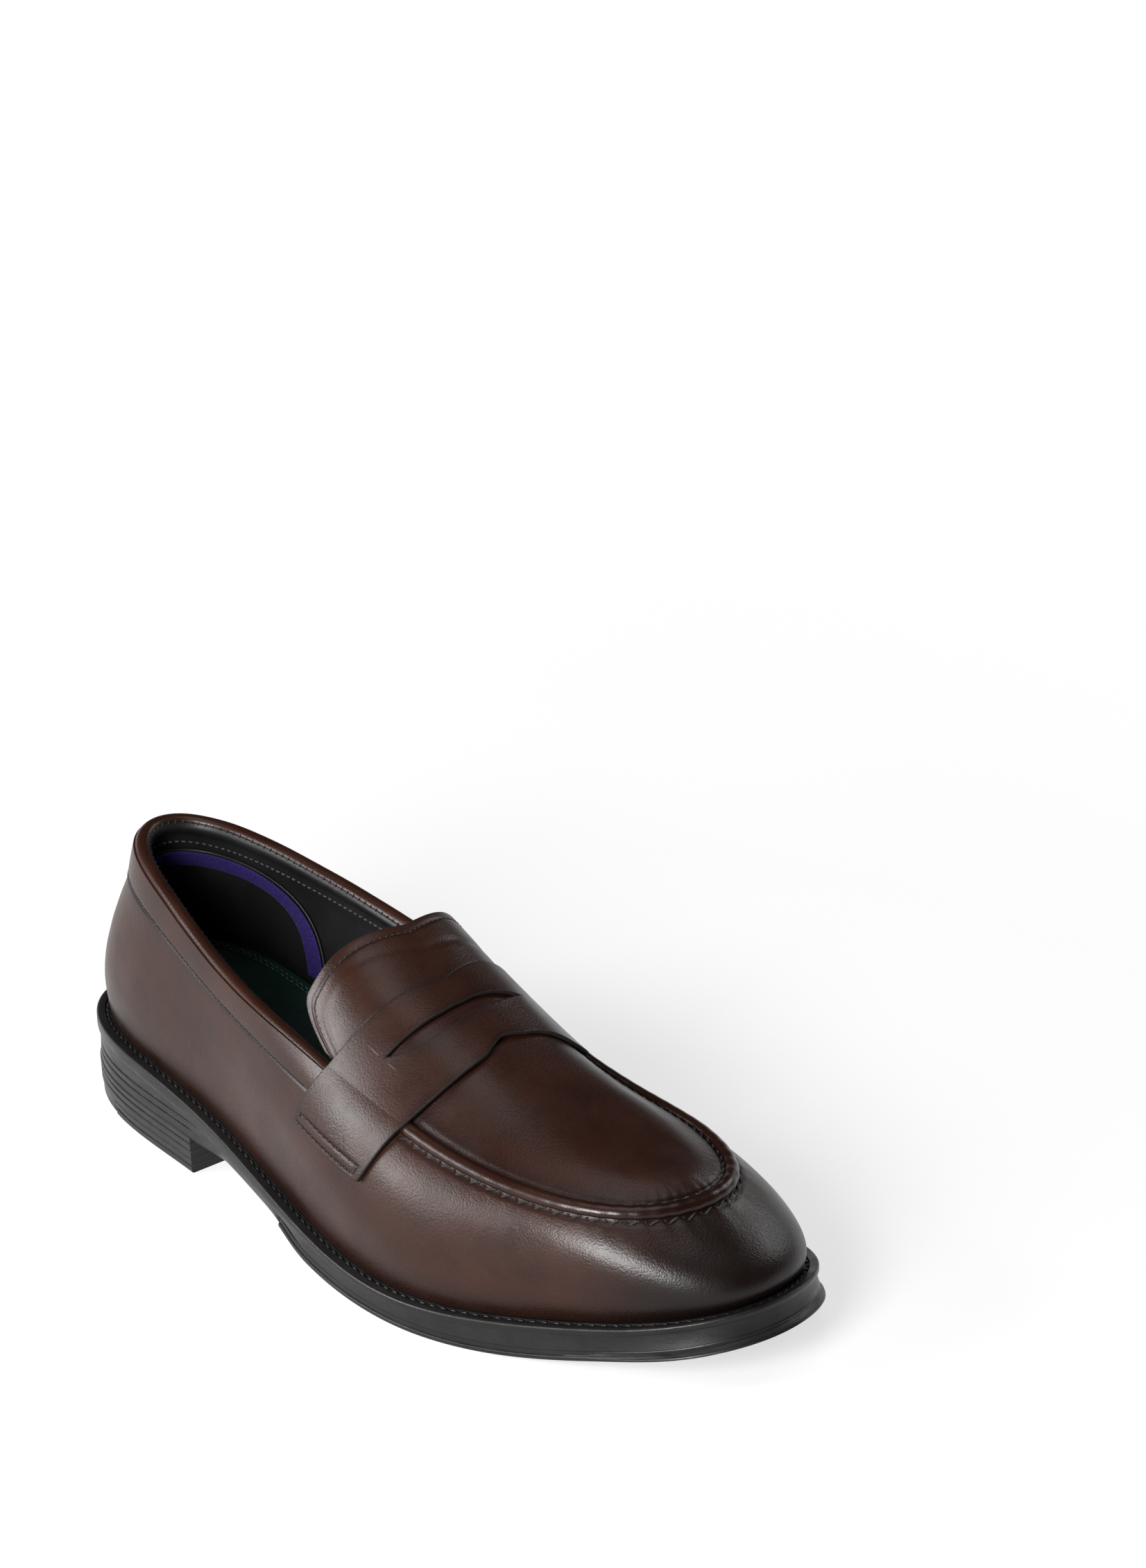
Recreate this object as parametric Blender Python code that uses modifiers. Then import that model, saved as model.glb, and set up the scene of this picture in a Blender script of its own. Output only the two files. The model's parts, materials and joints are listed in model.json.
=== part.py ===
"""Right-foot penny loafer, men's size, as separate pieces. Metres, toe along +X, medial side +Y, +Z up."""
import bpy
import bmesh
import numpy as np
from mathutils import Vector
from math import pi

MM = 0.001

# Overall sizes
LENGTH = 300 * MM
BREAST_X = 84.0 * MM
HEEL_TAPER = 0.9 * MM
FEATHER_INSET = 4.7 * MM
FEATHER_LIFT = 0.5 * MM
GAP = 0.3 * MM

# Leather and lining thicknesses, from the outer surface inwards
LEATHER = 1.5 * MM
STIFFENER = 1.0 * MM
LINING = 1.0 * MM
STIFFENER_DEPTH = LEATHER + GAP
LINING_DEPTH = STIFFENER_DEPTH + STIFFENER + GAP
POCKET_DEPTH = LINING_DEPTH + LINING + GAP
POCKET = 0.8 * MM
RIBBON_DEPTH = POCKET_DEPTH + POCKET + 2 * GAP
RIBBON = 0.5 * MM
RIBBON_WIDTH = 5.0 * MM
STRAP_LIFT = 0.4 * MM
STRAP = 1.4 * MM
RIDGE_RADIUS = 1.9 * MM
RIDGE_SINK = 0.3 * MM
RIM_MARGIN = 2.2 * MM
RIM_STITCH = 3.4 * MM
THREAD_RADIUS = 0.3 * MM
THREAD_LIFT = 0.45 * MM

# Bottom layers, heights from the welt's top face
WELT = 2.6 * MM
WELT_WIDTH = 12.0 * MM
TREAD = 3.0 * MM
TOP_PIECE = 5.2 * MM
TREAD_START = 138 * MM
BOARD = (0.3 * MM, 2.3 * MM)
CUSHION = (2.6 * MM, 5.6 * MM)
SOCK = (5.9 * MM, 7.0 * MM)
HEEL_PAD = 7.0 * MM
BOARD_INSET = 11.5 * MM
FOOTBED_INSET = 9.6 * MM
FILLER_INSET = 13.0 * MM

# Where pieces begin and end round the shoe: 0 and 2 heel back, 1 toe, below 1 lateral, above 1 medial
COLLAR_END = 17 / 32
APRON_START = 0.550
STRAP_FRONT = 0.618
POCKET_FRONT = 0.33
POCKET_CORNER = 8.0

# Heights up the upper: 0 feather line, 1 rim, 2 spine
BAND_EDGE = 0.775
POCKET_FOOT = 0.28
POCKET_BACK = 0.82
STRAP_END = 0.545
TONGUE_EDGE = 1.035

# The strap's slit, from its lateral to its medial tip
SLIT_Y = (-33 * MM, 19 * MM)

# How strongly the slopes at the rim shape the wall below and the crown above
WALL_PULL = 0.34
CROWN_PULL = 0.46

RIM_X = (19.8 * MM, 272 * MM)
SPINE_X = (53 * MM, 252 * MM)

# Lengths of one step of u and of t near the heel
HEEL_GIRTH = 260 * MM
HEEL_RISE = 60 * MM

# The sewn box at each end of the strap, as places round and up the shoe
STITCH_BOX = ((0.510, 0.590), (0.577, 0.565), (0.583, 0.630), (0.514, 0.655))

# Spacing of the stations round and up the upper
U_STEP = 1 / 32
T_STEP = 1 / 8

# The tongue turns about the strap's rear edge
TONGUE_HINGE = (164.5 * MM, 0.0, 82.0 * MM)

# From the heel back on the floor to the middle of the shoe's footprint
TO_ORIGIN = (-150 * MM, 1.2 * MM, 0.0)


def natural_spline(knots, values):
    """A cubic through the values, with free ends."""
    k = np.array(knots, float) * MM
    v = np.array(values, float) * MM
    n = len(k)
    h = np.diff(k)
    a = np.eye(n)
    b = np.zeros(n)
    for i in range(1, n - 1):
        a[i, i - 1:i + 2] = h[i - 1], 2 * (h[i - 1] + h[i]), h[i]
        b[i] = 6 * ((v[i + 1] - v[i]) / h[i] - (v[i] - v[i - 1]) / h[i - 1])
    m = np.linalg.solve(a, b)

    def value(x):
        x = np.clip(np.asarray(x, float), k[0], k[-1])
        i = np.clip(np.searchsorted(k, x) - 1, 0, n - 2)
        p = (k[i + 1] - x) / h[i]
        q = (x - k[i]) / h[i]
        return p * v[i] + q * v[i + 1] + ((p ** 3 - p) * m[i] + (q ** 3 - q) * m[i + 1]) * h[i] ** 2 / 6
    return value


def ring_spline(back, lateral, toe, medial, unit=MM):
    """A closed cubic round the shoe through evenly spaced values, from the heel along the lateral side."""
    v = np.array([back, *lateral, toe, *medial[::-1]], float) * unit
    n = len(v)
    h = 2.0 / n
    a = 4 * np.eye(n) + np.roll(np.eye(n), 1, 0) + np.roll(np.eye(n), -1, 0)
    b = 6 * (np.roll(v, -1) - 2 * v + np.roll(v, 1)) / h ** 2
    m = np.linalg.solve(a, b)

    def value(u):
        s = np.mod(np.asarray(u, float), 2.0) / h
        i = np.floor(s).astype(int) % n
        j = (i + 1) % n
        q = s - np.floor(s)
        p = 1 - q
        return p * v[i] + q * v[j] + ((p ** 3 - p) * m[i] + (q ** 3 - q) * m[j]) * h * h / 6
    return value


# Plan of the sole's ledge, and the heights of its top and of the tread
ledge_y = ring_spline(4.0, (-18.9, -33.1, -39.8, -50.6, -54.1, -36.4, -17.1), 7.0,
                      (24.6, 34.9, 31.6, 33.2, 48.8, 51.6, 35.5))
ledge_z = natural_spline((0, 45, 93, 121, 150, 180, 207, 233, 256, 275, 300),
                         (28.5, 27.6, 23.1, 18.6, 13.4, 9.8, 9.6, 11.7, 14.7, 18.3, 25.6))
tread_z = natural_spline((82, 110, 140, 165, 190, 215, 240, 262, 280, 300),
                         (12.9, 9.8, 4.9, 1.4, 0.15, 0.15, 1.55, 4.9, 9.2, 15.6))

# The rim: the topline round the heel, then the apron's ridge round the toe
rim_y = ring_spline(3.0, (-12.8, -22.1, -30.7, -38.5, -37.7, -31.5, -16.6), 5.1,
                    (18.2, 26.5, 33.3, 34.0, 33.9, 35.0, 25.0))
rim_z = ring_spline(92.4, (90.2, 82.6, 72.0, 66.5, 54.0, 48.6, 47.4), 47.7,
                    (90.4, 86.2, 77.4, 67.6, 54.0, 48.6, 47.4))

# The spine: the highest line of the instep, from behind the tongue to the toe
spine_z = natural_spline((50, 120, 144, 164, 177, 192, 215, 235, 252),
                         (120, 104, 95.2, 85.0, 78.8, 71.6, 62.5, 57.0, 54.0))
spine_y = natural_spline((50, 150, 192, 205, 252), (3.0, 0.0, -2.5, -1.5, 3.5))

# Plan of the slit in the strap, by its distance to the medial side
slit_rear = natural_spline((-33, -22, -8, 10, 19), (173.5, 176.0, 176.4, 176.3, 178.2))
slit_front = natural_spline((-33, -29, -24, -17, -5, 11, 19), (173.5, 178.0, 181.0, 182.6, 181.5, 180.0, 178.2))

# How far the wall swells over the feather line, and the slopes in degrees below and above the rim
swell = ring_spline(5.5, (5.5, 4.0, 2.5, 2.5, 3.5, 4.0, 5.0), 6.0,
                    (5.5, 4.0, 2.5, 1.5, 3.5, 4.5, 5.5))
wall_slope = ring_spline(80, (80, 78, 72, 56, 38, 36, 40), 44,
                         (80, 78, 72, 54, 38, 36, 40), pi / 180)
crown_slope = ring_spline(80, (78, 76, 73, 64, 40, 30, 29), 31,
                          (78, 76, 76, 66, 38, 27, 27), pi / 180)


def along(u, ends):
    """X of a point of the ring whose ends are at the heel and the toe."""
    return ends[0] + (ends[1] - ends[0]) * (1 - np.cos(pi * np.asarray(u, float))) / 2


def outline(u, inset=0.0):
    """The ledge's plan, moved inwards, with its outward direction."""
    step = 1e-4

    def point(v):
        return np.stack([along(v, (0, LENGTH)), ledge_y(v)], -1)
    way = point(u + step) - point(u - step)
    way /= np.linalg.norm(way, axis=-1, keepdims=True)
    out = np.stack([way[..., 1], -way[..., 0]], -1)
    return point(u) - out * inset, out


def bezier(p0, p1, p2, p3, t):
    t = t[..., None]
    return (1 - t) ** 3 * p0 + 3 * (1 - t) ** 2 * t * p1 + 3 * (1 - t) * t * t * p2 + t ** 3 * p3


def main_lines(u):
    """Points of the feather line, the rim and the spine, with the outward direction."""
    plan, out = outline(u, FEATHER_INSET)
    feather = np.concatenate([plan, (ledge_z(plan[..., 0]) + FEATHER_LIFT)[..., None]], -1)
    rim = np.stack([along(u, RIM_X), rim_y(u), rim_z(u)], -1)
    x = along(u, SPINE_X)
    return feather, rim, np.stack([x, spine_y(x), spine_z(x)], -1), out


def beside_rim(u, distance):
    """Height t of a line that keeps a distance above the rim, or below it if negative."""
    feather, rim, top, _ = main_lines(np.asarray(u, float))
    wall = 3 * WALL_PULL * np.linalg.norm(rim - feather, axis=-1)
    crown = 3 * CROWN_PULL * np.linalg.norm(top - rim, axis=-1)
    return 1 + distance / (crown if distance > 0 else wall)


def upper_point(u, t):
    """The upper's outer surface: t runs 0 to 1 from the feather line to the rim, and 1 to 2 on to the spine."""
    u, t = np.broadcast_arrays(np.asarray(u, float), np.asarray(t, float))
    feather, rim, top, out = main_lines(u)
    out3 = np.concatenate([out, np.zeros_like(out[..., :1])], -1)
    up = np.array([0, 0, 1.0])
    x = top[..., 0]
    rise = (rim[..., 2] - feather[..., 2])[..., None]
    wall = np.linalg.norm(rim - feather, axis=-1, keepdims=True)
    crown = np.linalg.norm(top - rim, axis=-1, keepdims=True)
    a = wall_slope(u)[..., None]
    c = crown_slope(u)[..., None]
    low = bezier(feather, feather + out3 * swell(u)[..., None] + up * rise * 0.40,
                 rim - (up * np.sin(a) - out3 * np.cos(a)) * wall * WALL_PULL, rim, np.clip(t, 0, 1))
    fall = (spine_z(x + MM) - spine_z(x - MM)) / (2 * MM)
    across = np.stack([out[..., 0], out[..., 1], out[..., 0] * fall], -1)
    high = bezier(rim, rim + (up * np.sin(c) - out3 * np.cos(c)) * crown * CROWN_PULL,
                  top + across * crown * 0.50, top, np.clip(t - 1, 0, 1))
    return np.where((t <= 1)[..., None], low, high)


def upper_offset(u, t, depth):
    """A point at a depth under the upper's outer surface."""
    step = 2e-3
    u, t = np.broadcast_arrays(np.asarray(u, float), np.asarray(t, float))
    t0 = np.clip(t - step, 0, 2 - 2 * step)
    du = upper_point(u + step, t) - upper_point(u - step, t)
    dt = upper_point(u, t0 + 2 * step) - upper_point(u, t0)
    normal = np.cross(du, dt)
    x = along(u, SPINE_X)
    fall = (spine_z(x + MM) - spine_z(x - MM)) / (2 * MM)
    crest = np.stack([-fall, np.zeros_like(fall), np.ones_like(fall)], -1)
    normal = np.where((t > 2 - 1e-6)[..., None], crest, normal)
    normal /= np.linalg.norm(normal, axis=-1, keepdims=True)
    return upper_point(u, t) - normal * np.asarray(depth)[..., None]


def clear_scene():
    for item in list(bpy.data.objects):
        bpy.data.objects.remove(item, do_unlink=True)


def material(name, colour, roughness, metallic=0.0):
    mat = bpy.data.materials.new(name)
    mat.use_nodes = True
    shader = mat.node_tree.nodes["Principled BSDF"]
    shader.inputs["Base Color"].default_value = (*colour, 1.0)
    shader.inputs["Roughness"].default_value = roughness
    shader.inputs["Metallic"].default_value = metallic
    return mat


BROWN = (0.055, 0.022, 0.016)
COLOURS = {
    "leather": (BROWN, 0.42),
    "black_leather": ((0.010, 0.009, 0.009), 0.5),
    "green_leather": ((0.008, 0.040, 0.026), 0.5),
    "ribbon": ((0.055, 0.018, 0.22), 0.7),
    "thread": ((0.014, 0.008, 0.006), 0.8),
    "rubber": ((0.018, 0.017, 0.016), 0.45),
    "board": ((0.35, 0.25, 0.16), 0.9),
    "foam": ((0.60, 0.56, 0.45), 0.9),
    "fabric": ((0.30, 0.24, 0.18), 0.9),
    "cork": ((0.30, 0.17, 0.08), 0.9),
}


def finish_object(name, bm, colour, collection, smooth=True):
    """Makes one named object with its own material from a bmesh."""
    bmesh.ops.remove_doubles(bm, verts=bm.verts[:], dist=2e-6)
    bmesh.ops.recalc_face_normals(bm, faces=bm.faces[:])
    mesh = bpy.data.meshes.new(name)
    bm.to_mesh(mesh)
    bm.free()
    item = bpy.data.objects.new(name, mesh)
    collection.objects.link(item)
    if colour == "steel":
        mesh.materials.append(material(name + "_steel", (0.5, 0.5, 0.5), 0.3, 1.0))
    else:
        mesh.materials.append(material(name + "_" + colour, *COLOURS[colour]))
    if smooth:
        mesh.shade_smooth()
        mesh.set_sharp_from_angle(angle=pi / 5)
    return item


def add_grid(bm, points, close_rows=False):
    """A sheet of quads through a grid of points. Quads that shrink to a line are left out by the merge."""
    rows, cols = points.shape[:2]
    verts = [[bm.verts.new(tuple(p)) for p in row] for row in points]
    for i in range(rows if close_rows else rows - 1):
        k = (i + 1) % rows
        for j in range(cols - 1):
            bm.faces.new((verts[i][j], verts[k][j], verts[k][j + 1], verts[i][j + 1]))
    return verts


def shell(name, u, t, depth, thickness, colour, collection, close_rows=False):
    """A sheet of the upper at a depth, thickened inwards. u and t are grids of positions round and up the shoe."""
    bm = bmesh.new()
    add_grid(bm, upper_offset(u, t, depth), close_rows)
    item = finish_object(name, bm, colour, collection)
    solid = item.modifiers.new("thickness", "SOLIDIFY")
    solid.thickness = thickness
    solid.offset = -1
    return item


def stations(first, last, step):
    """First, last and the multiples of a step between them, so that all layers bend at the same places."""
    inner = np.arange(np.ceil(first / step - 0.25), np.floor(last / step + 0.25) + 1) * step
    inner = inner[(inner > first + 0.3 * step) & (inner < last - 0.3 * step)]
    return np.concatenate([[first], inner, [last]])


def patch(u0, u1, t0, t1, lid=None, floor=None):
    """Grids of u and t over a part of the upper. lid(u) and floor(u), if given, are heights that t keeps within."""
    u = stations(u0, u1, U_STEP)
    t = stations(t0, t1, T_STEP)
    u, t = np.meshgrid(u, t, indexing="ij")
    if lid is not None:
        t = np.minimum(t, lid(u))
        t[:, -1] = lid(u[:, -1])
    if floor is not None:
        t = np.maximum(t, floor(u))
    return u, t


def cross_grid(u0, u1, t_edge, rows, cols):
    """Grids that cross the instep from the lateral edge, over the spine, to the medial edge.

    u0 and u1 are functions of the distance from the spine, 0 to 1.
    """
    v = np.linspace(-1, 1, cols)
    t = 2 - np.abs(v) * (2 - t_edge)
    w = np.linspace(0, 1, rows)[:, None]
    u = u0(np.abs(v))[None] * (1 - w) + u1(np.abs(v))[None] * w
    u = np.where(v[None] < 0, u, 2 - u)
    return u, np.repeat(t[None], rows, 0)


def tube(name, points, radius, colour, collection, closed=False, sides=1):
    """A round strand through points."""
    curve = bpy.data.curves.new(name, "CURVE")
    curve.dimensions = "3D"
    curve.bevel_depth = radius
    curve.bevel_resolution = sides
    curve.use_fill_caps = True
    spline = curve.splines.new("POLY")
    spline.points.add(len(points) - 1)
    for point, place in zip(spline.points, points):
        point.co = (*place, 1.0)
    spline.use_cyclic_u = closed
    item = bpy.data.objects.new(name, curve)
    collection.objects.link(item)
    curve.materials.append(material(name + "_" + colour, *COLOURS[colour]))
    return item


def edge_line(inset, x0, x1, rows, cuts, medial):
    """One side of a layer's plan from x0 to x1, with points exactly at the cuts."""
    fine = np.linspace(0, 1, 400)
    x = outline(2 - fine if medial else fine, inset)[0][:, 0]
    first, last = max(x0, x[0]), min(x1, x[-1])
    place = first + (last - first) * (1 - np.cos(pi * np.linspace(0, 1, rows))) / 2
    for cut in cuts:
        place[np.argmin(np.abs(place - cut))] = cut
    u = np.interp(place, x, fine)
    return outline(2 - u if medial else u, inset)[0]


def slab(name, x0, x1, inset, top, bottom, colour, collection, rows=28, cols=5, foot_inset=None, width=None,
         cuts=()):
    """A layer of the bottom between two heights. Its sides follow the ledge, or keep a width about the middle."""
    s = np.linspace(0, 1, cols)[None, :, None]

    def face(amount, height):
        lateral = edge_line(amount, x0, x1, rows, cuts, medial=False)
        medial = edge_line(amount, x0, x1, rows, cuts, medial=True)
        if width is not None:
            middle = (lateral + medial) / 2
            lateral = middle - [0, width / 2]
            medial = middle + [0, width / 2]
        plan = lateral[:, None] * (1 - s) + medial[:, None] * s
        return np.concatenate([plan, height(plan[..., 0])[..., None]], -1)
    upper = face(inset, top)
    lower = face(inset if foot_inset is None else foot_inset, bottom)
    bm = bmesh.new()
    up = add_grid(bm, upper)
    down = add_grid(bm, lower)
    rim = [(i, 0) for i in range(rows)] + [(rows - 1, j) for j in range(1, cols)]
    rim += [(i, cols - 1) for i in range(rows - 2, -1, -1)] + [(0, j) for j in range(cols - 2, 0, -1)]
    for k, (i, j) in enumerate(rim):
        m, n = rim[(k + 1) % len(rim)]
        bm.faces.new((up[i][j], up[m][n], down[m][n], down[i][j]))
    return finish_object(name, bm, colour, collection)


def ring(name, section, rows, colour, collection):
    """A closed band round the shoe. section(u) gives the corners of its cross-section."""
    u = np.linspace(0, 2, rows, endpoint=False)
    corners = section(u)
    bm = bmesh.new()
    closed = np.concatenate([corners, corners[:, :1]], 1)
    add_grid(bm, closed, close_rows=True)
    return finish_object(name, bm, colour, collection)


# ---- the upper's pieces -------------------------------------------------------------------------

def from_heel(u):
    """Distance round the shoe from the heel back, the same on both sides."""
    u = np.mod(u, 2.0)
    return np.minimum(u, 2 - u)


def wall_top(u):
    """The side wall stops under the collar band, and near the rim in front of it."""
    front = np.clip((from_heel(u) - COLLAR_END) / 0.02, 0, 1)
    under_band = BAND_EDGE - 0.008
    return under_band + (beside_rim(u, -RIM_MARGIN) - under_band) * front


def pocket_top(u):
    """The heel pocket's front edge: nearly level round the heel, then an arc down to the footbed."""
    fall = np.clip(from_heel(u) / POCKET_FRONT, 0, 1)
    return POCKET_FOOT + (POCKET_BACK - POCKET_FOOT) * (1 - fall ** POCKET_CORNER)


def pocket_edge(count, inset):
    """Evenly spaced u and t along the heel pocket's front edge, moved back into the pocket."""
    u = np.linspace(-POCKET_FRONT, POCKET_FRONT, 801)
    flat = np.stack([u * HEEL_GIRTH, pocket_top(u) * HEEL_RISE], -1)
    way = np.gradient(flat, axis=0)
    way /= np.linalg.norm(way, axis=1, keepdims=True)
    run = np.concatenate([[0], np.cumsum(np.linalg.norm(np.diff(flat, axis=0), axis=1))])
    flat += np.stack([way[:, 1], -way[:, 0]], -1) * inset
    pick = np.linspace(0, run[-1], count)
    u, t = (np.interp(pick, run, flat[:, i]) for i in (0, 1))
    return np.stack([u / HEEL_GIRTH, np.maximum(t / HEEL_RISE, POCKET_FOOT)], -1)


def strap_rear(v):
    """Distance round the shoe of the strap's rear edge, for v from 0 on the spine to 1 at its ends."""
    return 0.5445 - 0.0445 * v ** 2.6


def strap_front(v):
    """The front edge has a shallow corner on the spine."""
    return 0.626 + 0.008 * np.minimum(v / 0.12, 1) - 0.052 * v ** 2.4


def tongue_rear(v):
    """A level end with rounded corners."""
    return 0.478 + 0.040 * np.clip((v - 0.80) / 0.20, 0, 1) ** 2


def tongue_front(v):
    """The tongue's root, just behind the strap. The distance is rescaled to the strap's own."""
    return strap_rear(v * (2 - TONGUE_EDGE) / (2 - STRAP_END)) - 0.006


def make_wall(parts):
    seam = 0.0015
    shell("side_wall", *patch(seam, 2 - seam, 0.0, 0.96, wall_top), 0.0, LEATHER, "leather", parts)
    u, t = patch(-COLLAR_END, COLLAR_END, BAND_EDGE, 1.0)
    shell("collar_band", u, t, 0.0, LEATHER, "leather", parts)
    u, t = patch(-COLLAR_END + 0.02, COLLAR_END - 0.02, BAND_EDGE + 0.02, 0.975)
    shell("collar_padding", u, t, STIFFENER_DEPTH, STIFFENER, "foam", parts)


def make_stiffeners(parts):
    u, t = patch(-0.30, 0.30, 0.02, BAND_EDGE - 0.03)
    shell("heel_counter", u, t, STIFFENER_DEPTH, STIFFENER, "board", parts)
    u, t = patch(0.80, 1.20, 0.03, 0.90)
    shell("toe_puff", u, t, STIFFENER_DEPTH, STIFFENER, "fabric", parts)


def make_linings(parts):
    u, t = patch(-0.47, 0.47, 0.02, 0.99)
    shell("quarter_lining", u, t, LINING_DEPTH, LINING, "black_leather", parts)
    u, t = patch(0.476, 1.524, 0.02, 0.90)
    shell("vamp_lining", u, t, LINING_DEPTH, LINING, "black_leather", parts)
    u, t = patch(APRON_START, 2 - APRON_START, 1.0, 2.0, floor=lambda u: beside_rim(u, 3 * RIM_MARGIN))
    shell("apron_lining", u, t, LINING_DEPTH, LINING, "black_leather", parts)
    u, t = patch(-POCKET_FRONT, POCKET_FRONT, POCKET_FOOT - 0.02, POCKET_BACK, pocket_top)
    shell("heel_pocket_lining", u, t, POCKET_DEPTH, POCKET, "black_leather", parts)
    u, t = np.moveaxis(np.stack([pocket_edge(33, 0), pocket_edge(33, RIBBON_WIDTH)], 1), -1, 0)
    shell("heel_ribbon", u, t, RIBBON_DEPTH, RIBBON, "ribbon", parts)


def make_apron(parts):
    u, t = patch(APRON_START, 2 - APRON_START, 1.0, 2.0, floor=lambda u: beside_rim(u, RIM_MARGIN))
    shell("apron", u, t, 0.0, LEATHER, "leather", parts)
    u = np.linspace(STRAP_FRONT, 2 - STRAP_FRONT, 61)
    tube("apron_ridge", upper_offset(u, 1.0, RIDGE_SINK), RIDGE_RADIUS, "leather", parts, sides=2)
    for name, distance in (("apron_inner_thread", RIM_STITCH), ("apron_outer_thread", -RIM_STITCH)):
        path = upper_offset(u, beside_rim(u, distance), -THREAD_LIFT)
        tube(name, path, THREAD_RADIUS, "thread", parts)


def slit_cutter(cutters):
    """A lens-shaped prism that opens the strap."""
    y = SLIT_Y[0] + (SLIT_Y[1] - SLIT_Y[0]) * (1 - np.cos(pi * np.linspace(0, 1, 15))) / 2
    front = np.column_stack([slit_front(y), y])
    rear = np.column_stack([slit_rear(y), y])[-2:0:-1]
    bm = bmesh.new()
    face = bm.faces.new([bm.verts.new((x, y, 55 * MM)) for x, y in np.concatenate([front, rear])])
    top = bmesh.ops.extrude_face_region(bm, geom=[face])["geom"]
    lift = [item for item in top if isinstance(item, bmesh.types.BMVert)]
    bmesh.ops.translate(bm, verts=lift, vec=(0, 0, 50 * MM))
    cutter = finish_object("strap_slit", bm, "leather", cutters, smooth=False)
    cutter.hide_render = True
    cutter.display_type = "WIRE"
    return cutter


def make_strap(parts, cutters):
    u, t = cross_grid(strap_rear, strap_front, STRAP_END, 6, 31)
    strap = shell("penny_strap", u, t, -(STRAP_LIFT + STRAP), STRAP, "leather", parts)
    cut = strap.modifiers.new("slit", "BOOLEAN")
    cut.operation = "DIFFERENCE"
    cut.object = slit_cutter(cutters)
    lift = -(STRAP_LIFT + STRAP + THREAD_LIFT)
    for name, side in (("lateral", -1), ("medial", 1)):
        corners = np.array(STITCH_BOX)
        places = [corners[i] * (1 - s) + corners[(i + 1) % 4] * s for i in range(4) for s in np.linspace(0, 1, 6)[:-1]]
        u, t = np.array(places).T
        u = u if side < 0 else 2 - u
        tube(f"strap_stitch_{name}", upper_offset(u, t, lift), THREAD_RADIUS, "thread", parts, closed=True)


def make_tongue(parts):
    """The tongue and its lining turn together about the strap's rear edge."""
    hinge = bpy.data.objects.new("tongue_hinge", None)
    hinge.location = TONGUE_HINGE
    parts.objects.link(hinge)
    bpy.context.view_layer.update()
    u, t = cross_grid(tongue_rear, tongue_front, TONGUE_EDGE, 5, 27)
    pieces = [shell("tongue", u, t, 0.0, LEATHER, "leather", parts),
              shell("tongue_lining", u, t, LEATHER + GAP, LINING, "black_leather", parts)]
    v = np.linspace(-0.9, 0.9, 31)
    edge = tongue_rear(np.abs(v)) + 0.008 + 0.010 * np.abs(v) ** 6
    u = np.where(v < 0, edge, 2 - edge)
    path = upper_offset(u, 2 - np.abs(v) * (2 - TONGUE_EDGE), -THREAD_LIFT)
    pieces.append(tube("tongue_thread", path, THREAD_RADIUS, "thread", parts))
    for piece in pieces:
        piece.parent = hinge
        piece.matrix_parent_inverse = hinge.matrix_world.inverted()


def make_collar_thread(parts):
    u = np.linspace(-0.506, 0.506, 65)
    tube("collar_thread", upper_offset(u, BAND_EDGE + 0.02, -THREAD_LIFT), THREAD_RADIUS, "thread", parts)


# ---- the bottom's pieces ------------------------------------------------------------------------

def above_ledge(lift):
    return lambda x: ledge_z(x) + lift


def footbed(lift):
    """A height over the ledge, with extra cushioning that fades out ahead of the heel."""
    return lambda x: ledge_z(x) + lift + HEEL_PAD * np.clip((170 * MM - x) / (90 * MM), 0, 1)


def make_welt(parts):
    def section(u):
        rows = []
        for inset, drop in ((0.0, 0.0), (WELT_WIDTH, 0.0), (WELT_WIDTH, WELT), (0.0, WELT)):
            plan = outline(u, inset)[0]
            rows.append(np.column_stack([plan, ledge_z(plan[:, 0]) - drop]))
        return np.stack(rows, 1)
    ring("welt", section, 96, "rubber", parts)
    u = np.linspace(0, 2, 120, endpoint=False)
    plan = outline(u, 3.0 * MM)[0]
    height = ledge_z(plan[:, 0]) + THREAD_LIFT
    tube("welt_thread", np.column_stack([plan, height]), THREAD_RADIUS, "thread", parts, closed=True)


def make_footbed(parts):
    slab("insole_board", 0, LENGTH, BOARD_INSET, above_ledge(BOARD[1]), above_ledge(BOARD[0]), "board", parts)
    slab("footbed_cushion", 0, LENGTH, FOOTBED_INSET, footbed(CUSHION[1]), above_ledge(CUSHION[0]), "foam", parts)
    slab("sock_liner", 0, LENGTH, FOOTBED_INSET, footbed(SOCK[1]), footbed(SOCK[0]), "green_leather", parts)
    u = np.linspace(0, 2, 90, endpoint=False)
    plan = outline(u, FOOTBED_INSET + 2 * MM)[0]
    height = footbed(SOCK[1])(plan[:, 0]) + 2 * THREAD_LIFT
    tube("sock_thread", np.column_stack([plan, height]), THREAD_RADIUS, "thread", parts, closed=True)
    slab("steel_shank", 48 * MM, 150 * MM, 0, above_ledge(-0.4 * MM), above_ledge(-1.9 * MM), "steel", parts,
         rows=12, cols=2, width=15 * MM)
    slab("cork_filler", 156 * MM, 275 * MM, FILLER_INSET, above_ledge(-0.3 * MM), above_ledge(-2.3 * MM),
         "cork", parts, rows=14)


def sole_bottom(x):
    """Underside of the sole: level over the heel, arched at the waist, and stepped up over the tread."""
    step = (TREAD + GAP) * np.clip((x - TREAD_START + 4 * MM) / (3 * MM), 0, 1)
    return np.where(x < BREAST_X, tread_z(BREAST_X), tread_z(x) + step)


def level(height):
    return lambda x: np.full_like(x, height)


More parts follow.
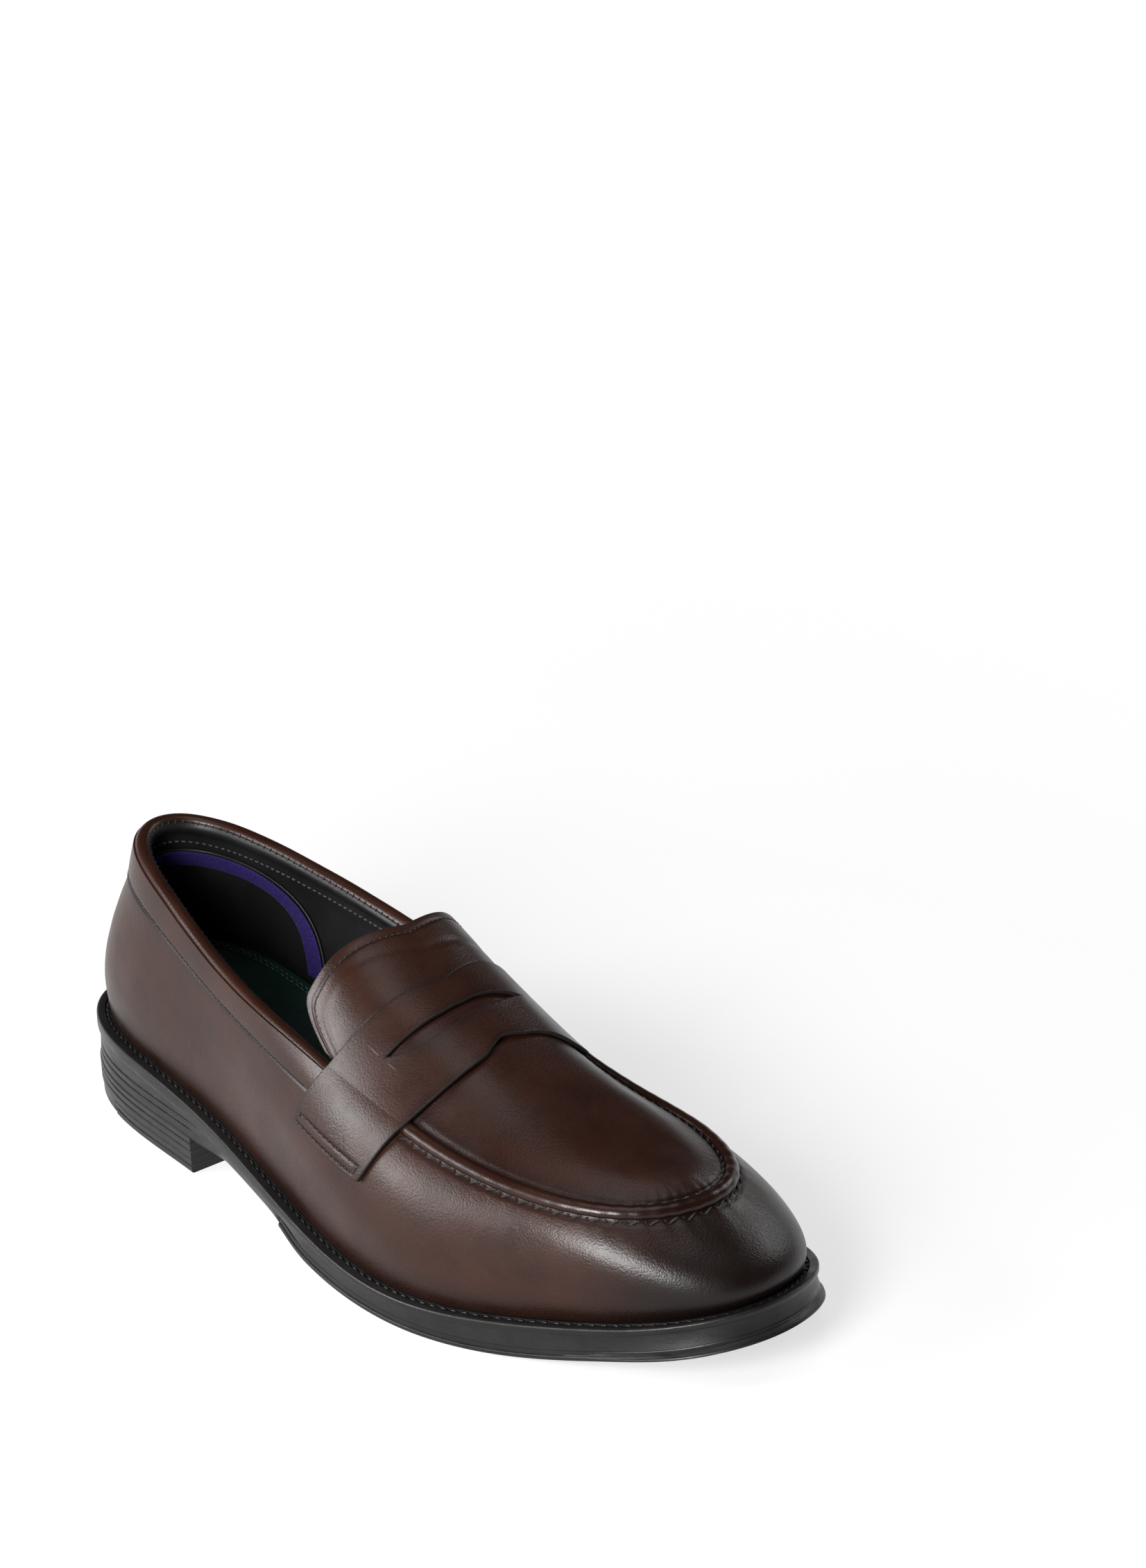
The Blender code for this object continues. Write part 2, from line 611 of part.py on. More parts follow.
def make_bottom(parts):
    slab("outsole", 0, LENGTH, 0.0, above_ledge(-WELT - GAP), sole_bottom, "rubber", parts, rows=48,
         foot_inset=0.4 * MM, cuts=(BREAST_X, TREAD_START - 4 * MM, TREAD_START - MM))
    slab("forefoot_tread", TREAD_START, LENGTH, 0.4 * MM, lambda x: tread_z(x) + TREAD, tread_z,
         "rubber", parts, rows=26, foot_inset=0.8 * MM)
    seat = tread_z(BREAST_X) - GAP
    slab("heel_block", 0, BREAST_X, 0.4 * MM, level(seat), level(TOP_PIECE + GAP), "rubber", parts, rows=16,
         foot_inset=HEEL_TAPER)
    slab("heel_top_piece", 0, BREAST_X, HEEL_TAPER, level(TOP_PIECE), level(0.0), "rubber", parts, rows=16,
         foot_inset=HEEL_TAPER + 0.5 * MM)


def main():
    clear_scene()
    parts = bpy.data.collections.new("penny_loafer")
    cutters = bpy.data.collections.new("cutters")
    for collection in (parts, cutters):
        bpy.context.scene.collection.children.link(collection)
    make_wall(parts)
    make_stiffeners(parts)
    make_linings(parts)
    make_apron(parts)
    make_strap(parts, cutters)
    make_tongue(parts)
    make_collar_thread(parts)
    make_welt(parts)
    make_footbed(parts)
    make_bottom(parts)
    for item in bpy.data.objects:
        if item.parent is None:
            item.location += Vector(TO_ORIGIN)


main()
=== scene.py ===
"""Looks of the penny loafer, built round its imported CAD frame.

Shapes are worked out in millimetres from the heel back on the floor, toe along +X and medial side +Y, and
moved into the frame when a mesh is made."""

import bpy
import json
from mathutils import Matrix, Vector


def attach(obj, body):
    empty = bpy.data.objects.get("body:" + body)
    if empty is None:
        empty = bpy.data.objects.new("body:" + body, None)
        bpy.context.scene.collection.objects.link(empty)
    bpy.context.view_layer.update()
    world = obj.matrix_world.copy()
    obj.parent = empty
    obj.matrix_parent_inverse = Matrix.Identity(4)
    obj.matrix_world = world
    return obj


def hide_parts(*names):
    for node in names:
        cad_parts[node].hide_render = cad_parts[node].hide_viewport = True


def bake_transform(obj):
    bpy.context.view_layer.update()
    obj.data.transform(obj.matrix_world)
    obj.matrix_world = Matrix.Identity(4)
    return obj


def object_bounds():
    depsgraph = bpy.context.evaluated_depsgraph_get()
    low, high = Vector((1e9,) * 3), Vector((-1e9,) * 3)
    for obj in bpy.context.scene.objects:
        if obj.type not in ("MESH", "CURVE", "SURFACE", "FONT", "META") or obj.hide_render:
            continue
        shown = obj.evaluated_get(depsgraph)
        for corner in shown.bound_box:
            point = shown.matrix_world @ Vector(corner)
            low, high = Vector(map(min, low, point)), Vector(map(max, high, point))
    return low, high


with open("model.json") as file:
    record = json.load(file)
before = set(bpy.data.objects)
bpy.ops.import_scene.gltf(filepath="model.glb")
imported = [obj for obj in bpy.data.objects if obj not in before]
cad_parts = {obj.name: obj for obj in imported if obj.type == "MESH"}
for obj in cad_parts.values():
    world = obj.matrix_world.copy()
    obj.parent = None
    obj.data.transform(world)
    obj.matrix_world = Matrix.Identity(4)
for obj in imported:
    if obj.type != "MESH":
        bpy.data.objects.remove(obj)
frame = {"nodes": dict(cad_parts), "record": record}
cad_box = [list(corner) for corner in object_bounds()]

import bpy
import bmesh
import json
import numpy as np
from math import pi, radians

# ---- frame --------------------------------------------------------------------------------------
HINGE = next(j for j in frame["record"]["behaviour"]["joints"] if j["name"] == "tongue_lift")["pos_m"]
ORIGIN = np.array([cad_box[0][0], HINGE[1], 0.0])
LENGTH = (cad_box[1][0] - cad_box[0][0]) * 1000
MM = 0.001
rng = np.random.default_rng(7)

# Layer depths under the upper's outer surface, as the CAD has them
LEATHER = 1.5
LINING_FACE = 4.1
POCKET_FACE = 5.2
RIBBON_FACE = 6.3
FEATHER_INSET = 4.7
BREAST_X = 84.0
WELT = 2.6
TREAD = 3.0
TREAD_X = 138.0

# Where pieces begin and end: round the shoe (0 and 2 heel back, 1 toe) and up it (0 feather, 1 rim, 2 spine)
COLLAR_END = 17 / 32
BAND_EDGE = 0.775
STRAP_END = 0.545
TONGUE_EDGE = 1.035
APRON_START = 0.552
RIDGE_START = 0.596
POCKET_FRONT = 0.33
POCKET_FOOT = 0.28
POCKET_BACK = 0.82
ROLL = 2.2
ROLL_TURN = 150.0
RIDGE_HALF = 2.35
RIDGE_HIGH = 1.75
FOOTBED_INSET = 9.6
SOCK_TOP = 7.0
HEEL_PAD = 7.0
PAD_END, PAD_FADE = 170.0, 90.0
LINING_END = 0.47

# Millimetres of leather to one unit of u or t, where a distance is worked out from them
INSTEP_RUN = 312.0
STRAP_RUN = 28.0
HEEL_GIRTH, HEEL_RISE = 260.0, 60.0
BOX_RUN = (390.0, 52.0)

# Puckers of the moccasin seam, and rows of stitches: pitch, length and radius of a stitch
OUTER_PUCKER, INNER_PUCKER = 5.7, 3.8
COLLAR_ROW = (2.0, 1.5, 0.25)
WHIP_ROW = (2.5, 1.9, 0.26)
LINING_ROW = (2.2, 1.6, 0.26)
SOCK_ROW = (2.8, 2.1, 0.32)
TONGUE_ROW = (2.1, 1.6, 0.27)
STRAP_ROW = (2.6, 1.9, 0.33)
RIDGE_OUTER_ROW = (OUTER_PUCKER, 4.4, 0.42)
RIDGE_INNER_ROW = (INNER_PUCKER, 2.8, 0.36)
WELT_ROW = (3.7, 2.8, 0.55)
STRAND_STEPS, STRAND_SIDES = 7, 6
HOLE_SIDES = 8


# ---- the surface that every piece of the upper lies on --------------------------------------------
def natural_spline(knots, values):
    k, v = np.array(knots, float), np.array(values, float)
    n, h = len(k), np.diff(knots)
    a, b = np.eye(n), np.zeros(n)
    for i in range(1, n - 1):
        a[i, i - 1:i + 2] = h[i - 1], 2 * (h[i - 1] + h[i]), h[i]
        b[i] = 6 * ((v[i + 1] - v[i]) / h[i] - (v[i] - v[i - 1]) / h[i - 1])
    m = np.linalg.solve(a, b)

    def value(x):
        x = np.clip(np.asarray(x, float), k[0], k[-1])
        i = np.clip(np.searchsorted(k, x) - 1, 0, n - 2)
        p, q = (k[i + 1] - x) / h[i], (x - k[i]) / h[i]
        return p * v[i] + q * v[i + 1] + ((p ** 3 - p) * m[i] + (q ** 3 - q) * m[i + 1]) * h[i] ** 2 / 6
    return value


def ring_spline(back, lateral, toe, medial):
    v = np.array([back, *lateral, toe, *medial[::-1]], float)
    n, h = len(v), 2.0 / len(v)
    a = 4 * np.eye(n) + np.roll(np.eye(n), 1, 0) + np.roll(np.eye(n), -1, 0)
    m = np.linalg.solve(a, 6 * (np.roll(v, -1) - 2 * v + np.roll(v, 1)) / h ** 2)

    def value(u):
        s = np.mod(np.asarray(u, float), 2.0) / h
        i = np.floor(s).astype(int) % n
        j, q = (i + 1) % n, s - np.floor(s)
        p = 1 - q
        return p * v[i] + q * v[j] + ((p ** 3 - p) * m[i] + (q ** 3 - q) * m[j]) * h * h / 6
    return value


ledge_y = ring_spline(4.0, (-18.9, -33.1, -39.8, -50.6, -54.1, -36.4, -17.1), 7.0,
                      (24.6, 34.9, 31.6, 33.2, 48.8, 51.6, 35.5))
ledge_z = natural_spline((0, 45, 93, 121, 150, 180, 207, 233, 256, 275, 300),
                         (28.5, 27.6, 23.1, 18.6, 13.4, 9.8, 9.6, 11.7, 14.7, 18.3, 25.6))
tread_z = natural_spline((82, 110, 140, 165, 190, 215, 240, 262, 280, 300),
                         (12.9, 9.8, 4.9, 1.4, 0.15, 0.15, 1.55, 4.9, 9.2, 15.6))
rim_y = ring_spline(3.0, (-12.8, -22.1, -30.7, -38.5, -37.7, -31.5, -16.6), 5.1,
                    (18.2, 26.5, 33.3, 34.0, 33.9, 35.0, 25.0))
rim_z = ring_spline(92.4, (90.2, 82.6, 72.0, 66.5, 54.0, 48.6, 47.4), 47.7,
                    (90.4, 86.2, 77.4, 67.6, 54.0, 48.6, 47.4))
spine_z = natural_spline((50, 120, 144, 164, 177, 192, 215, 235, 252),
                         (120, 104, 95.2, 85.0, 78.8, 71.6, 62.5, 57.0, 54.0))
spine_y = natural_spline((50, 150, 192, 205, 252), (3.0, 0.0, -2.5, -1.5, 3.5))
slit_rear = natural_spline((-33, -22, -8, 10, 19), (173.5, 176.0, 176.4, 176.3, 178.2))
slit_front = natural_spline((-33, -29, -24, -17, -5, 11, 19),
                            (173.5, 178.0, 181.0, 182.6, 181.5, 180.0, 178.2))
swell = ring_spline(5.5, (5.5, 4.0, 2.5, 2.5, 3.5, 4.0, 5.0), 6.0, (5.5, 4.0, 2.5, 1.5, 3.5, 4.5, 5.5))
wall_slope = ring_spline(80, (80, 78, 72, 56, 38, 36, 40), 44, (80, 78, 72, 54, 38, 36, 40))
crown_slope = ring_spline(80, (78, 76, 73, 64, 40, 30, 29), 31, (78, 76, 76, 66, 38, 27, 27))
SLIT_Y = (-33.0, 19.0)
WALL_PULL, CROWN_PULL = 0.34, 0.46
RIM_X, SPINE_X = (19.8, 272.0), (53.0, 252.0)


def along(u, ends):
    return ends[0] + (ends[1] - ends[0]) * (1 - np.cos(pi * np.asarray(u, float))) / 2


def unit(vectors):
    return vectors / np.maximum(np.linalg.norm(vectors, axis=-1, keepdims=True), 1e-12)


def outline(u, inset=0.0):
    """The ledge's plan, moved inwards, with its outward direction."""
    def point(v):
        return np.stack([along(v, (0, LENGTH)), ledge_y(v)], -1)
    u = np.asarray(u, float)
    way = unit(point(u + 1e-4) - point(u - 1e-4))
    out = np.stack([way[..., 1], -way[..., 0]], -1)
    return point(u) - out * np.asarray(inset)[..., None], out


def bezier(p0, p1, p2, p3, t):
    t = t[..., None]
    return (1 - t) ** 3 * p0 + 3 * (1 - t) ** 2 * t * p1 + 3 * (1 - t) * t * t * p2 + t ** 3 * p3


def main_lines(u):
    plan, out = outline(u, FEATHER_INSET)
    feather = np.concatenate([plan, (ledge_z(plan[..., 0]) + 0.5)[..., None]], -1)
    rim = np.stack([along(u, RIM_X), rim_y(u), rim_z(u)], -1)
    x = along(u, SPINE_X)
    return feather, rim, np.stack([x, spine_y(x), spine_z(x)], -1), out


def beside_rim(u, distance):
    """Height of a line that keeps a distance above the rim, or below it if negative."""
    feather, rim, top, _ = main_lines(np.asarray(u, float))
    wall = 3 * WALL_PULL * np.linalg.norm(rim - feather, axis=-1)
    crown = 3 * CROWN_PULL * np.linalg.norm(top - rim, axis=-1)
    return 1 + distance / np.where(np.asarray(distance) > 0, crown, wall)


def upper_point(u, t):
    u, t = np.broadcast_arrays(np.asarray(u, float), np.asarray(t, float))
    feather, rim, top, out = main_lines(u)
    out3 = np.concatenate([out, np.zeros_like(out[..., :1])], -1)
    up = np.array([0, 0, 1.0])
    x = top[..., 0]
    rise = (rim[..., 2] - feather[..., 2])[..., None]
    wall = np.linalg.norm(rim - feather, axis=-1, keepdims=True)
    crown = np.linalg.norm(top - rim, axis=-1, keepdims=True)
    a, c = (np.radians(s(u))[..., None] for s in (wall_slope, crown_slope))
    low = bezier(feather, feather + out3 * swell(u)[..., None] + up * rise * 0.40,
                 rim - (up * np.sin(a) - out3 * np.cos(a)) * wall * WALL_PULL, rim, np.clip(t, 0, 1))
    fall = (spine_z(x + 1) - spine_z(x - 1)) / 2
    across = np.stack([out[..., 0], out[..., 1], out[..., 0] * fall], -1)
    high = bezier(rim, rim + (up * np.sin(c) - out3 * np.cos(c)) * crown * CROWN_PULL,
                  top + across * crown * 0.50, top, np.clip(t - 1, 0, 1))
    return np.where((t <= 1)[..., None], low, high)


def upper_frame(u, t):
    """A point of the surface with its outward normal and its upward direction."""
    step = 2e-3
    u, t = np.broadcast_arrays(np.asarray(u, float), np.asarray(t, float))
    t0 = np.clip(t - step, 0, 2 - 2 * step)
    du = upper_point(u + step, t) - upper_point(u - step, t)
    dt = upper_point(u, t0 + 2 * step) - upper_point(u, t0)
    normal = np.cross(du, dt)
    x = along(u, SPINE_X)
    fall = (spine_z(x + 1) - spine_z(x - 1)) / 2
    crest = np.stack([-fall, np.zeros_like(fall), np.ones_like(fall)], -1)
    normal = np.where((t > 2 - 1e-6)[..., None], crest, normal)
    return upper_point(u, t), unit(normal), unit(dt)


def surf(u, t, lift=0.0):
    point, normal, _ = upper_frame(u, t)
    return point + normal * np.asarray(lift, float)[..., None]


def from_heel(u):
    u = np.mod(u, 2.0)
    return np.minimum(u, 2 - u)


def smooth(x, a, b):
    """0 before a, 1 after b, and a smooth step between."""
    s = np.clip((np.asarray(x, float) - a) / (b - a), 0, 1)
    return s * s * (3 - 2 * s)


def hump(x, centre, width):
    """1 at the centre, and a soft fall to 0 on both sides."""
    return np.exp(-((x - centre) / width) ** 2)


def waves(points, scale, seed=0.0):
    """Slow unevenness of hand-worked leather, about -1 to 1."""
    x, y, z = (points[..., i] / scale for i in range(3))
    return (np.sin(x * 1.7 + 1.3 * np.sin(y * 1.1 + seed) + seed) + np.sin(y * 2.3 - z * 1.9 + 2.1 * seed)
            + np.sin(z * 2.9 + x * 1.1 + 0.7 + seed)) / 3


# ---- meshes -------------------------------------------------------------------------------------
def make_mesh(name, verts, faces, mats, face_mat=None, tone=None, nodes=(), slot=None, ride=True,
              recalc=True):
    """A mesh from points in millimetres. tone is a value per point that the materials can read: burnish, and
    painted shade in grooves, creases and under edges.
    """
    mesh = bpy.data.meshes.new(name)
    world = np.asarray(verts, float).reshape(-1, 3) * MM + ORIGIN
    mesh.from_pydata(world.tolist(), [], [list(map(int, f)) for f in faces])
    for mat in (mats if isinstance(mats, (list, tuple)) else [mats]):
        mesh.materials.append(mat)
    if face_mat is not None:
        mesh.polygons.foreach_set("material_index", np.asarray(face_mat, np.int32))
    layer = mesh.attributes.new("tone", "FLOAT", "POINT")
    values = np.broadcast_to(np.ravel(1.0 if tone is None else tone), len(world))
    layer.data.foreach_set("value", values.astype(np.float32))
    if recalc:
        bm = bmesh.new()
        bm.from_mesh(mesh)
        bmesh.ops.recalc_face_normals(bm, faces=bm.faces[:])
        bm.to_mesh(mesh)
        bm.free()
    mesh.shade_smooth()
    mesh.set_sharp_from_angle(angle=radians(50))
    mesh.update()
    item = bpy.data.objects.new(name, mesh)
    bpy.context.scene.collection.objects.link(item)
    if nodes:
        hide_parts(*nodes)
    if ride:
        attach(item, "shoe")
    return item


def spread(u, rows):
    """A grid of u and of a share from 0 to 1."""
    return np.meshgrid(u, np.linspace(0, 1, rows), indexing="ij")


def grid_faces(rows, cols, wrap_rows=False, wrap_cols=False, start=0):
    i = np.arange(rows if wrap_rows else rows - 1)
    j = np.arange(cols if wrap_cols else cols - 1)
    i, j = np.meshgrid(i, j, indexing="ij")
    k, m = (i + 1) % rows, (j + 1) % cols
    return (np.stack([i * cols + j, k * cols + j, k * cols + m, i * cols + m], -1).reshape(-1, 4) + start)


def boundary_loops(faces):
    """Ordered loops of the edges that have a face on their left only."""
    edges = np.concatenate([np.stack([faces[:, k], faces[:, (k + 1) % 4]], -1) for k in range(4)])
    edges = edges[edges[:, 0] != edges[:, 1]]
    there = {(int(a), int(b)) for a, b in edges}
    follow = {a: b for a, b in there if (b, a) not in there}
    loops = []
    while follow:
        first = next(iter(follow))
        loop = [first]
        while loop[-1] in follow:
            step = follow.pop(loop[-1])
            if step == first:
                break
            loop.append(step)
        loops.append(np.array(loop))
    return loops


def vertex_normals(verts, faces):
    tri = verts[faces]
    area = np.cross(tri[:, 2] - tri[:, 0], tri[:, 3] - tri[:, 1])
    out = np.zeros_like(verts)
    for k in range(4):
        np.add.at(out, faces[:, k], area)
    return unit(out)


def thicken(name, verts, faces, thickness, mats, edge=0.35, tone=None, **more):
    """A cut sheet: a top face, an inner face, and rounded cut edges in the second material."""
    verts, faces = np.asarray(verts, float), np.asarray(faces)
    normal = vertex_normals(verts, faces)
    count = len(verts)
    points = [verts, verts - normal * thickness]
    polys = [faces, faces[:, ::-1] + count]
    kinds = [np.zeros(len(faces)), np.zeros(len(faces))]
    edge = min(edge, thickness / 2)
    angles = np.radians([30, 60, 90])
    used = 2 * count
    origin = [np.arange(count), np.arange(count)]
    for loop in boundary_loops(faces):
        v, n = verts[loop], normal[loop]
        way = np.roll(v, -1, 0) - np.roll(v, 1, 0)
        out = unit(np.cross(way, n))
        rows = [v + out * edge * np.sin(a) - n * edge * (1 - np.cos(a)) for a in angles]
        rows += [v + out * edge * np.sin(a) - n * (thickness - edge * (1 - np.cos(a))) for a in angles[::-1]]
        size = len(loop)
        index = [loop] + [used + k * size + np.arange(size) for k in range(len(rows))] + [loop + count]
        used += len(rows) * size
        points += rows
        origin += [loop] * len(rows)
        for a, b in zip(index[:-1], index[1:]):
            polys.append(np.stack([np.roll(a, -1), a, b, np.roll(b, -1)], -1))
            kinds.append(np.ones(size))
    if tone is not None:
        tone = np.asarray(tone, float).ravel()[np.concatenate(origin)]
    return make_mesh(name, np.concatenate(points), np.concatenate(polys), mats,
                     face_mat=np.concatenate(kinds), tone=tone, **more)


def sheet(name, u, t, lift, thickness, mats, inward=False, wrap=False, **more):
    """A cut sheet on a grid of the upper, at a height over its surface, its top face outward or inward."""
    faces = grid_faces(*u.shape, wrap_rows=wrap)
    faces = faces[:, ::-1] if inward else faces
    return thicken(name, surf(u, t, lift).reshape(-1, 3), faces, thickness, mats, **more)


def running(path):
    """Length along a path of points up to each of them."""
    return np.concatenate([[0], np.cumsum(np.linalg.norm(np.diff(path, axis=0), axis=1))])


def resample(path, pitch, closed=False):
    """Evenly spaced places along a path of points, as fractional positions in it."""
    run = running(path)
    count = max(2, int(round(run[-1] / pitch)) + (0 if closed else 1))
    where = np.linspace(0, run[-1], count + 1)[:-1] if closed else np.linspace(0, run[-1], count)
    return np.interp(where, run, np.arange(len(path)))


def pick(values, where):
    i = np.clip(np.floor(where).astype(int), 0, len(values) - 2)
    f = (where - i)[:, None]
    return values[i] * (1 - f) + values[i + 1] * f


def stitches(name, path, normal, row, mat, sink=0.15, slant=0.0, closed=False, hole=0.0, **more):
    """A row of separate stitches, each a short strand that dips into the leather at both ends."""
    pitch, length, radius = row
    where = resample(path, pitch, closed)
    centre, up = pick(path, where), pick(normal, where)
    ends = (pick(path, np.clip(where + step, 0, len(path) - 1)) for step in (0.2, -0.2))
    ahead, up = unit(next(ends) - next(ends)), unit(up)
    side = np.cross(up, ahead)
    turn = slant + rng.normal(0, 0.05, len(where))[:, None]
    ahead, side = ahead * np.cos(turn) + side * np.sin(turn), side * np.cos(turn) - ahead * np.sin(turn)
    s = np.linspace(-1, 1, STRAND_STEPS)
    around = np.linspace(0, 2 * pi, STRAND_SIDES, endpoint=False)[:, None]
    thick = (radius * np.sqrt(np.clip(1 - np.abs(s) ** 4, 0.02, 1)))[:, None, None]
    height = (-sink - radius * 1.6 * np.abs(s) ** 3)[:, None]
    size = length / 2 * (1 + rng.normal(0, 0.04, len(where)))
    core = centre[:, None] + ahead[:, None] * (s * size[:, None])[..., None] + up[:, None] * height
    side, up = side[:, None, None], up[:, None, None]
    ring = side * (np.cos(around) * thick) + up * (np.sin(around) * thick)
    verts = (core[:, :, None] + ring).reshape(-1, 3)
    faces = grid_faces(STRAND_STEPS, STRAND_SIDES, wrap_cols=True)
    cap = np.array([[3, 2, 1, 0], [0, 5, 4, 3]])
    faces = np.concatenate([faces[:, ::-1], cap, cap[:, ::-1] + (STRAND_STEPS - 1) * STRAND_SIDES])
    start = (np.arange(len(where)) * STRAND_STEPS * STRAND_SIDES)[:, None, None]
    faces = (faces[None] + start).reshape(-1, 4).tolist()
    kinds = [0] * len(faces)
    # Painted shade: dark lenses stand for the shade inside the needle holes between the stitches.
    if hole:
        gap = (where[:-1] + where[1:]) / 2
        pits, hole_shade_faces = needle_hole_shades(pick(path, gap), pick(normal, gap), hole, len(verts))
        verts = np.concatenate([verts, pits])
        faces += hole_shade_faces
        kinds += [1] * len(hole_shade_faces)
    return make_mesh(name, verts, faces, [mat, EDGE], face_mat=kinds, **more)


def seam(name, u, t, lift, row, mat, inside=False, **more):
    """A row of stitches along a line of the upper, at a height over its surface, facing outward or inward."""
    point, normal, _ = upper_frame(u, t)
    path = point + normal * np.asarray(lift, float)[..., None]
    return stitches(name, path, -normal if inside else normal, row, mat, **more)


def needle_hole_shades(centre, normal, radius, start):
    """Small dark lenses pressed into the leather between the stitches, a painted shade for the needle holes.
    """
    normal = unit(normal)
    side = unit(np.cross(normal, (0.3, 0.2, 0.9)))
    other = np.cross(normal, side)
    turn = np.linspace(0, 2 * pi, HOLE_SIDES, endpoint=False)[None, :, None]
    ring = centre[:, None] + radius * (side[:, None] * np.cos(turn) + other[:, None] * np.sin(turn))
    poles = centre[:, None] + normal[:, None] * np.array([0.25, -0.6])[None, :, None] * radius
    verts = np.concatenate([ring, poles], 1)
    k = np.arange(HOLE_SIDES)
    ahead, pole = (k + 1) % HOLE_SIDES, np.full(HOLE_SIDES, HOLE_SIDES)
    faces = np.concatenate([np.stack([k, ahead, pole], 1), np.stack([ahead, k, pole + 1], 1)])
    start = (np.arange(len(centre)) * (HOLE_SIDES + 2))[:, None, None] + start
    return verts.reshape(-1, 3), (faces[None] + start).reshape(-1, 3).tolist()


def sweep(name, centre, a, b, section, mat, **more):
    """A closed strand whose cross-section is given along the two directions a and b at each centre."""
    rows = centre[:, None] + a[:, None] * section[..., 0:1] + b[:, None] * section[..., 1:2]
    n, m = rows.shape[:2]
    k = np.arange(m)
    ahead, last = (k + 1) % m, (n - 1) * m
    faces = grid_faces(n, m, wrap_cols=True).tolist()
    faces += np.stack([k, ahead, np.full(m, n * m)], -1).tolist()
    faces += np.stack([last + ahead, last + k, np.full(m, n * m + 1)], -1).tolist()
    return make_mesh(name, np.concatenate([rows.reshape(-1, 3), centre[:1], centre[-1:]]), faces, mat, **more)


# ---- materials ----------------------------------------------------------------------------------
class Nodes:
    """Short ways to add and join shader nodes."""

    def __init__(self, name):
        self.mat = bpy.data.materials.new(name)
        self.mat.use_nodes = True
        self.tree = self.mat.node_tree
        self.shader = self.tree.nodes["Principled BSDF"]
        self.place = self.add("ShaderNodeTexCoord").outputs["Object"]

    def add(self, kind, **values):
        node = self.tree.nodes.new(kind)
        for key, value in values.items():
            if key in node.inputs:
                self.put(node.inputs[key], value)
            else:
                setattr(node, key, value)
        return node

    def put(self, socket, value):
        if isinstance(value, bpy.types.NodeSocket):
            self.tree.links.new(value, socket)
        else:
            socket.default_value = value

    def noise(self, scale, detail=3.0, rough=0.5, vector=None, out="Fac"):
        node = self.add("ShaderNodeTexNoise", Scale=scale, Detail=detail, Roughness=rough,
                        Vector=vector or self.place)
        return node.outputs[out]

    def cells(self, scale, vector):
        return self.add("ShaderNodeTexVoronoi", Scale=scale, Vector=vector).outputs["Distance"]

    def math(self, operation, a, b):
        node = self.add("ShaderNodeMath", operation=operation)
        for socket, value in zip(node.inputs, (a, b)):
            self.put(socket, value)
        return node.outputs[0]

    def span(self, value, low, high, to_low=0.0, to_high=1.0):
        node = self.add("ShaderNodeMapRange")
        for socket, given in zip(node.inputs, (value, low, high, to_low, to_high)):
            self.put(socket, given)
        return node.outputs[0]

    def mix(self, factor, a, b):
        node = self.add("ShaderNodeMix", data_type="RGBA")
        self.put(node.inputs[0], factor)
        for socket, value in zip((node.inputs[6], node.inputs[7]), (a, b)):
            self.put(socket, (*value, 1.0) if isinstance(value, tuple) and len(value) == 3 else value)
        return node.outputs[2]

    def drift(self, low, high, *noise, **more):
        """A value that wanders between two over the surface."""
        return self.span(self.noise(*noise, **more), 0.3, 0.7, low, high)

    def mottle(self, low, high, *noise):
        """A colour that wanders between two over the surface."""
        return self.mix(self.drift(0.0, 1.0, *noise), low, high)

    def tone(self):
        return self.add("ShaderNodeAttribute", attribute_name="tone").outputs["Fac"]

    def bump(self, height, distance, strength=1.0, normal=None):
        node = self.add("ShaderNodeBump", Height=height, Strength=strength, Distance=distance)
        if normal is not None:
            self.put(node.inputs["Normal"], normal)
        return node.outputs[0]

    def done(self, colour, roughness, normal=None, **fixed):
        self.put(self.shader.inputs["Base Color"], (*colour, 1.0) if isinstance(colour, tuple) else colour)
        self.put(self.shader.inputs["Roughness"], roughness)
        if normal is not None:
            self.put(self.shader.inputs["Normal"], normal)
        for key, value in fixed.items():
            self.shader.inputs[key.replace("_", " ")].default_value = value
        return self.mat


def pebbled(n, size, depth):
    """The fine grain of box leather: small rounded cells between thin creases, uneven in depth."""
    warp = n.add("ShaderNodeVectorMath", operation="MULTIPLY_ADD")
    n.put(warp.inputs[0], n.noise(420 / size, 2.0, out="Color"))
    warp.inputs[1].default_value = (0.0005 * size,) * 3
    n.put(warp.inputs[2], n.place)
    cell, fine = n.cells(1350 / size, warp.outputs[0]), n.cells(3000 / size, warp.outputs[0])
    grain = n.math("ADD", n.math("MULTIPLY", n.math("SUBTRACT", 1.0, cell), 0.7),
                   n.math("MULTIPLY", n.math("SUBTRACT", 1.0, fine), 0.3))
    return n.bump(n.math("MULTIPLY", grain, n.drift(0.55, 1.0, 26)), depth)


def brown_leather(name, size=1.0, depth=0.00008, rough=0.35, light=(0.0220, 0.0066, 0.0036),
                  deep=(0.0108, 0.0030, 0.0015)):
    """Burnished brown calf: slow changes of colour, darker where tone is low (burnish, and painted shade),
    and a satin finish.
    """
    n = Nodes(name)
    speck = n.span(n.noise(900, 2.0), 0.35, 0.75, 0.88, 1.06)
    colour = n.mix(n.tone(), (0.0022, 0.0011, 0.0009), n.mottle(deep, light, 38, 5.0, 0.6))
    shade = n.add("ShaderNodeVectorMath", operation="SCALE")
    n.put(shade.inputs[0], colour)
    n.put(shade.inputs["Scale"], speck)
    gloss = n.drift(rough - 0.05, rough + 0.06, 60, 4.0, 0.6)
    return n.done(shade.outputs[0], gloss, pebbled(n, size, depth), Specular_IOR_Level=0.26)


def cut_edge():
    n = Nodes("cut_edge")
    return n.done(n.mottle((0.003, 0.0018, 0.0014), (0.008, 0.0042, 0.003), 700), n.drift(0.75, 0.9, 900),
                  n.bump(n.noise(1500), 0.00006), Specular_IOR_Level=0.25)


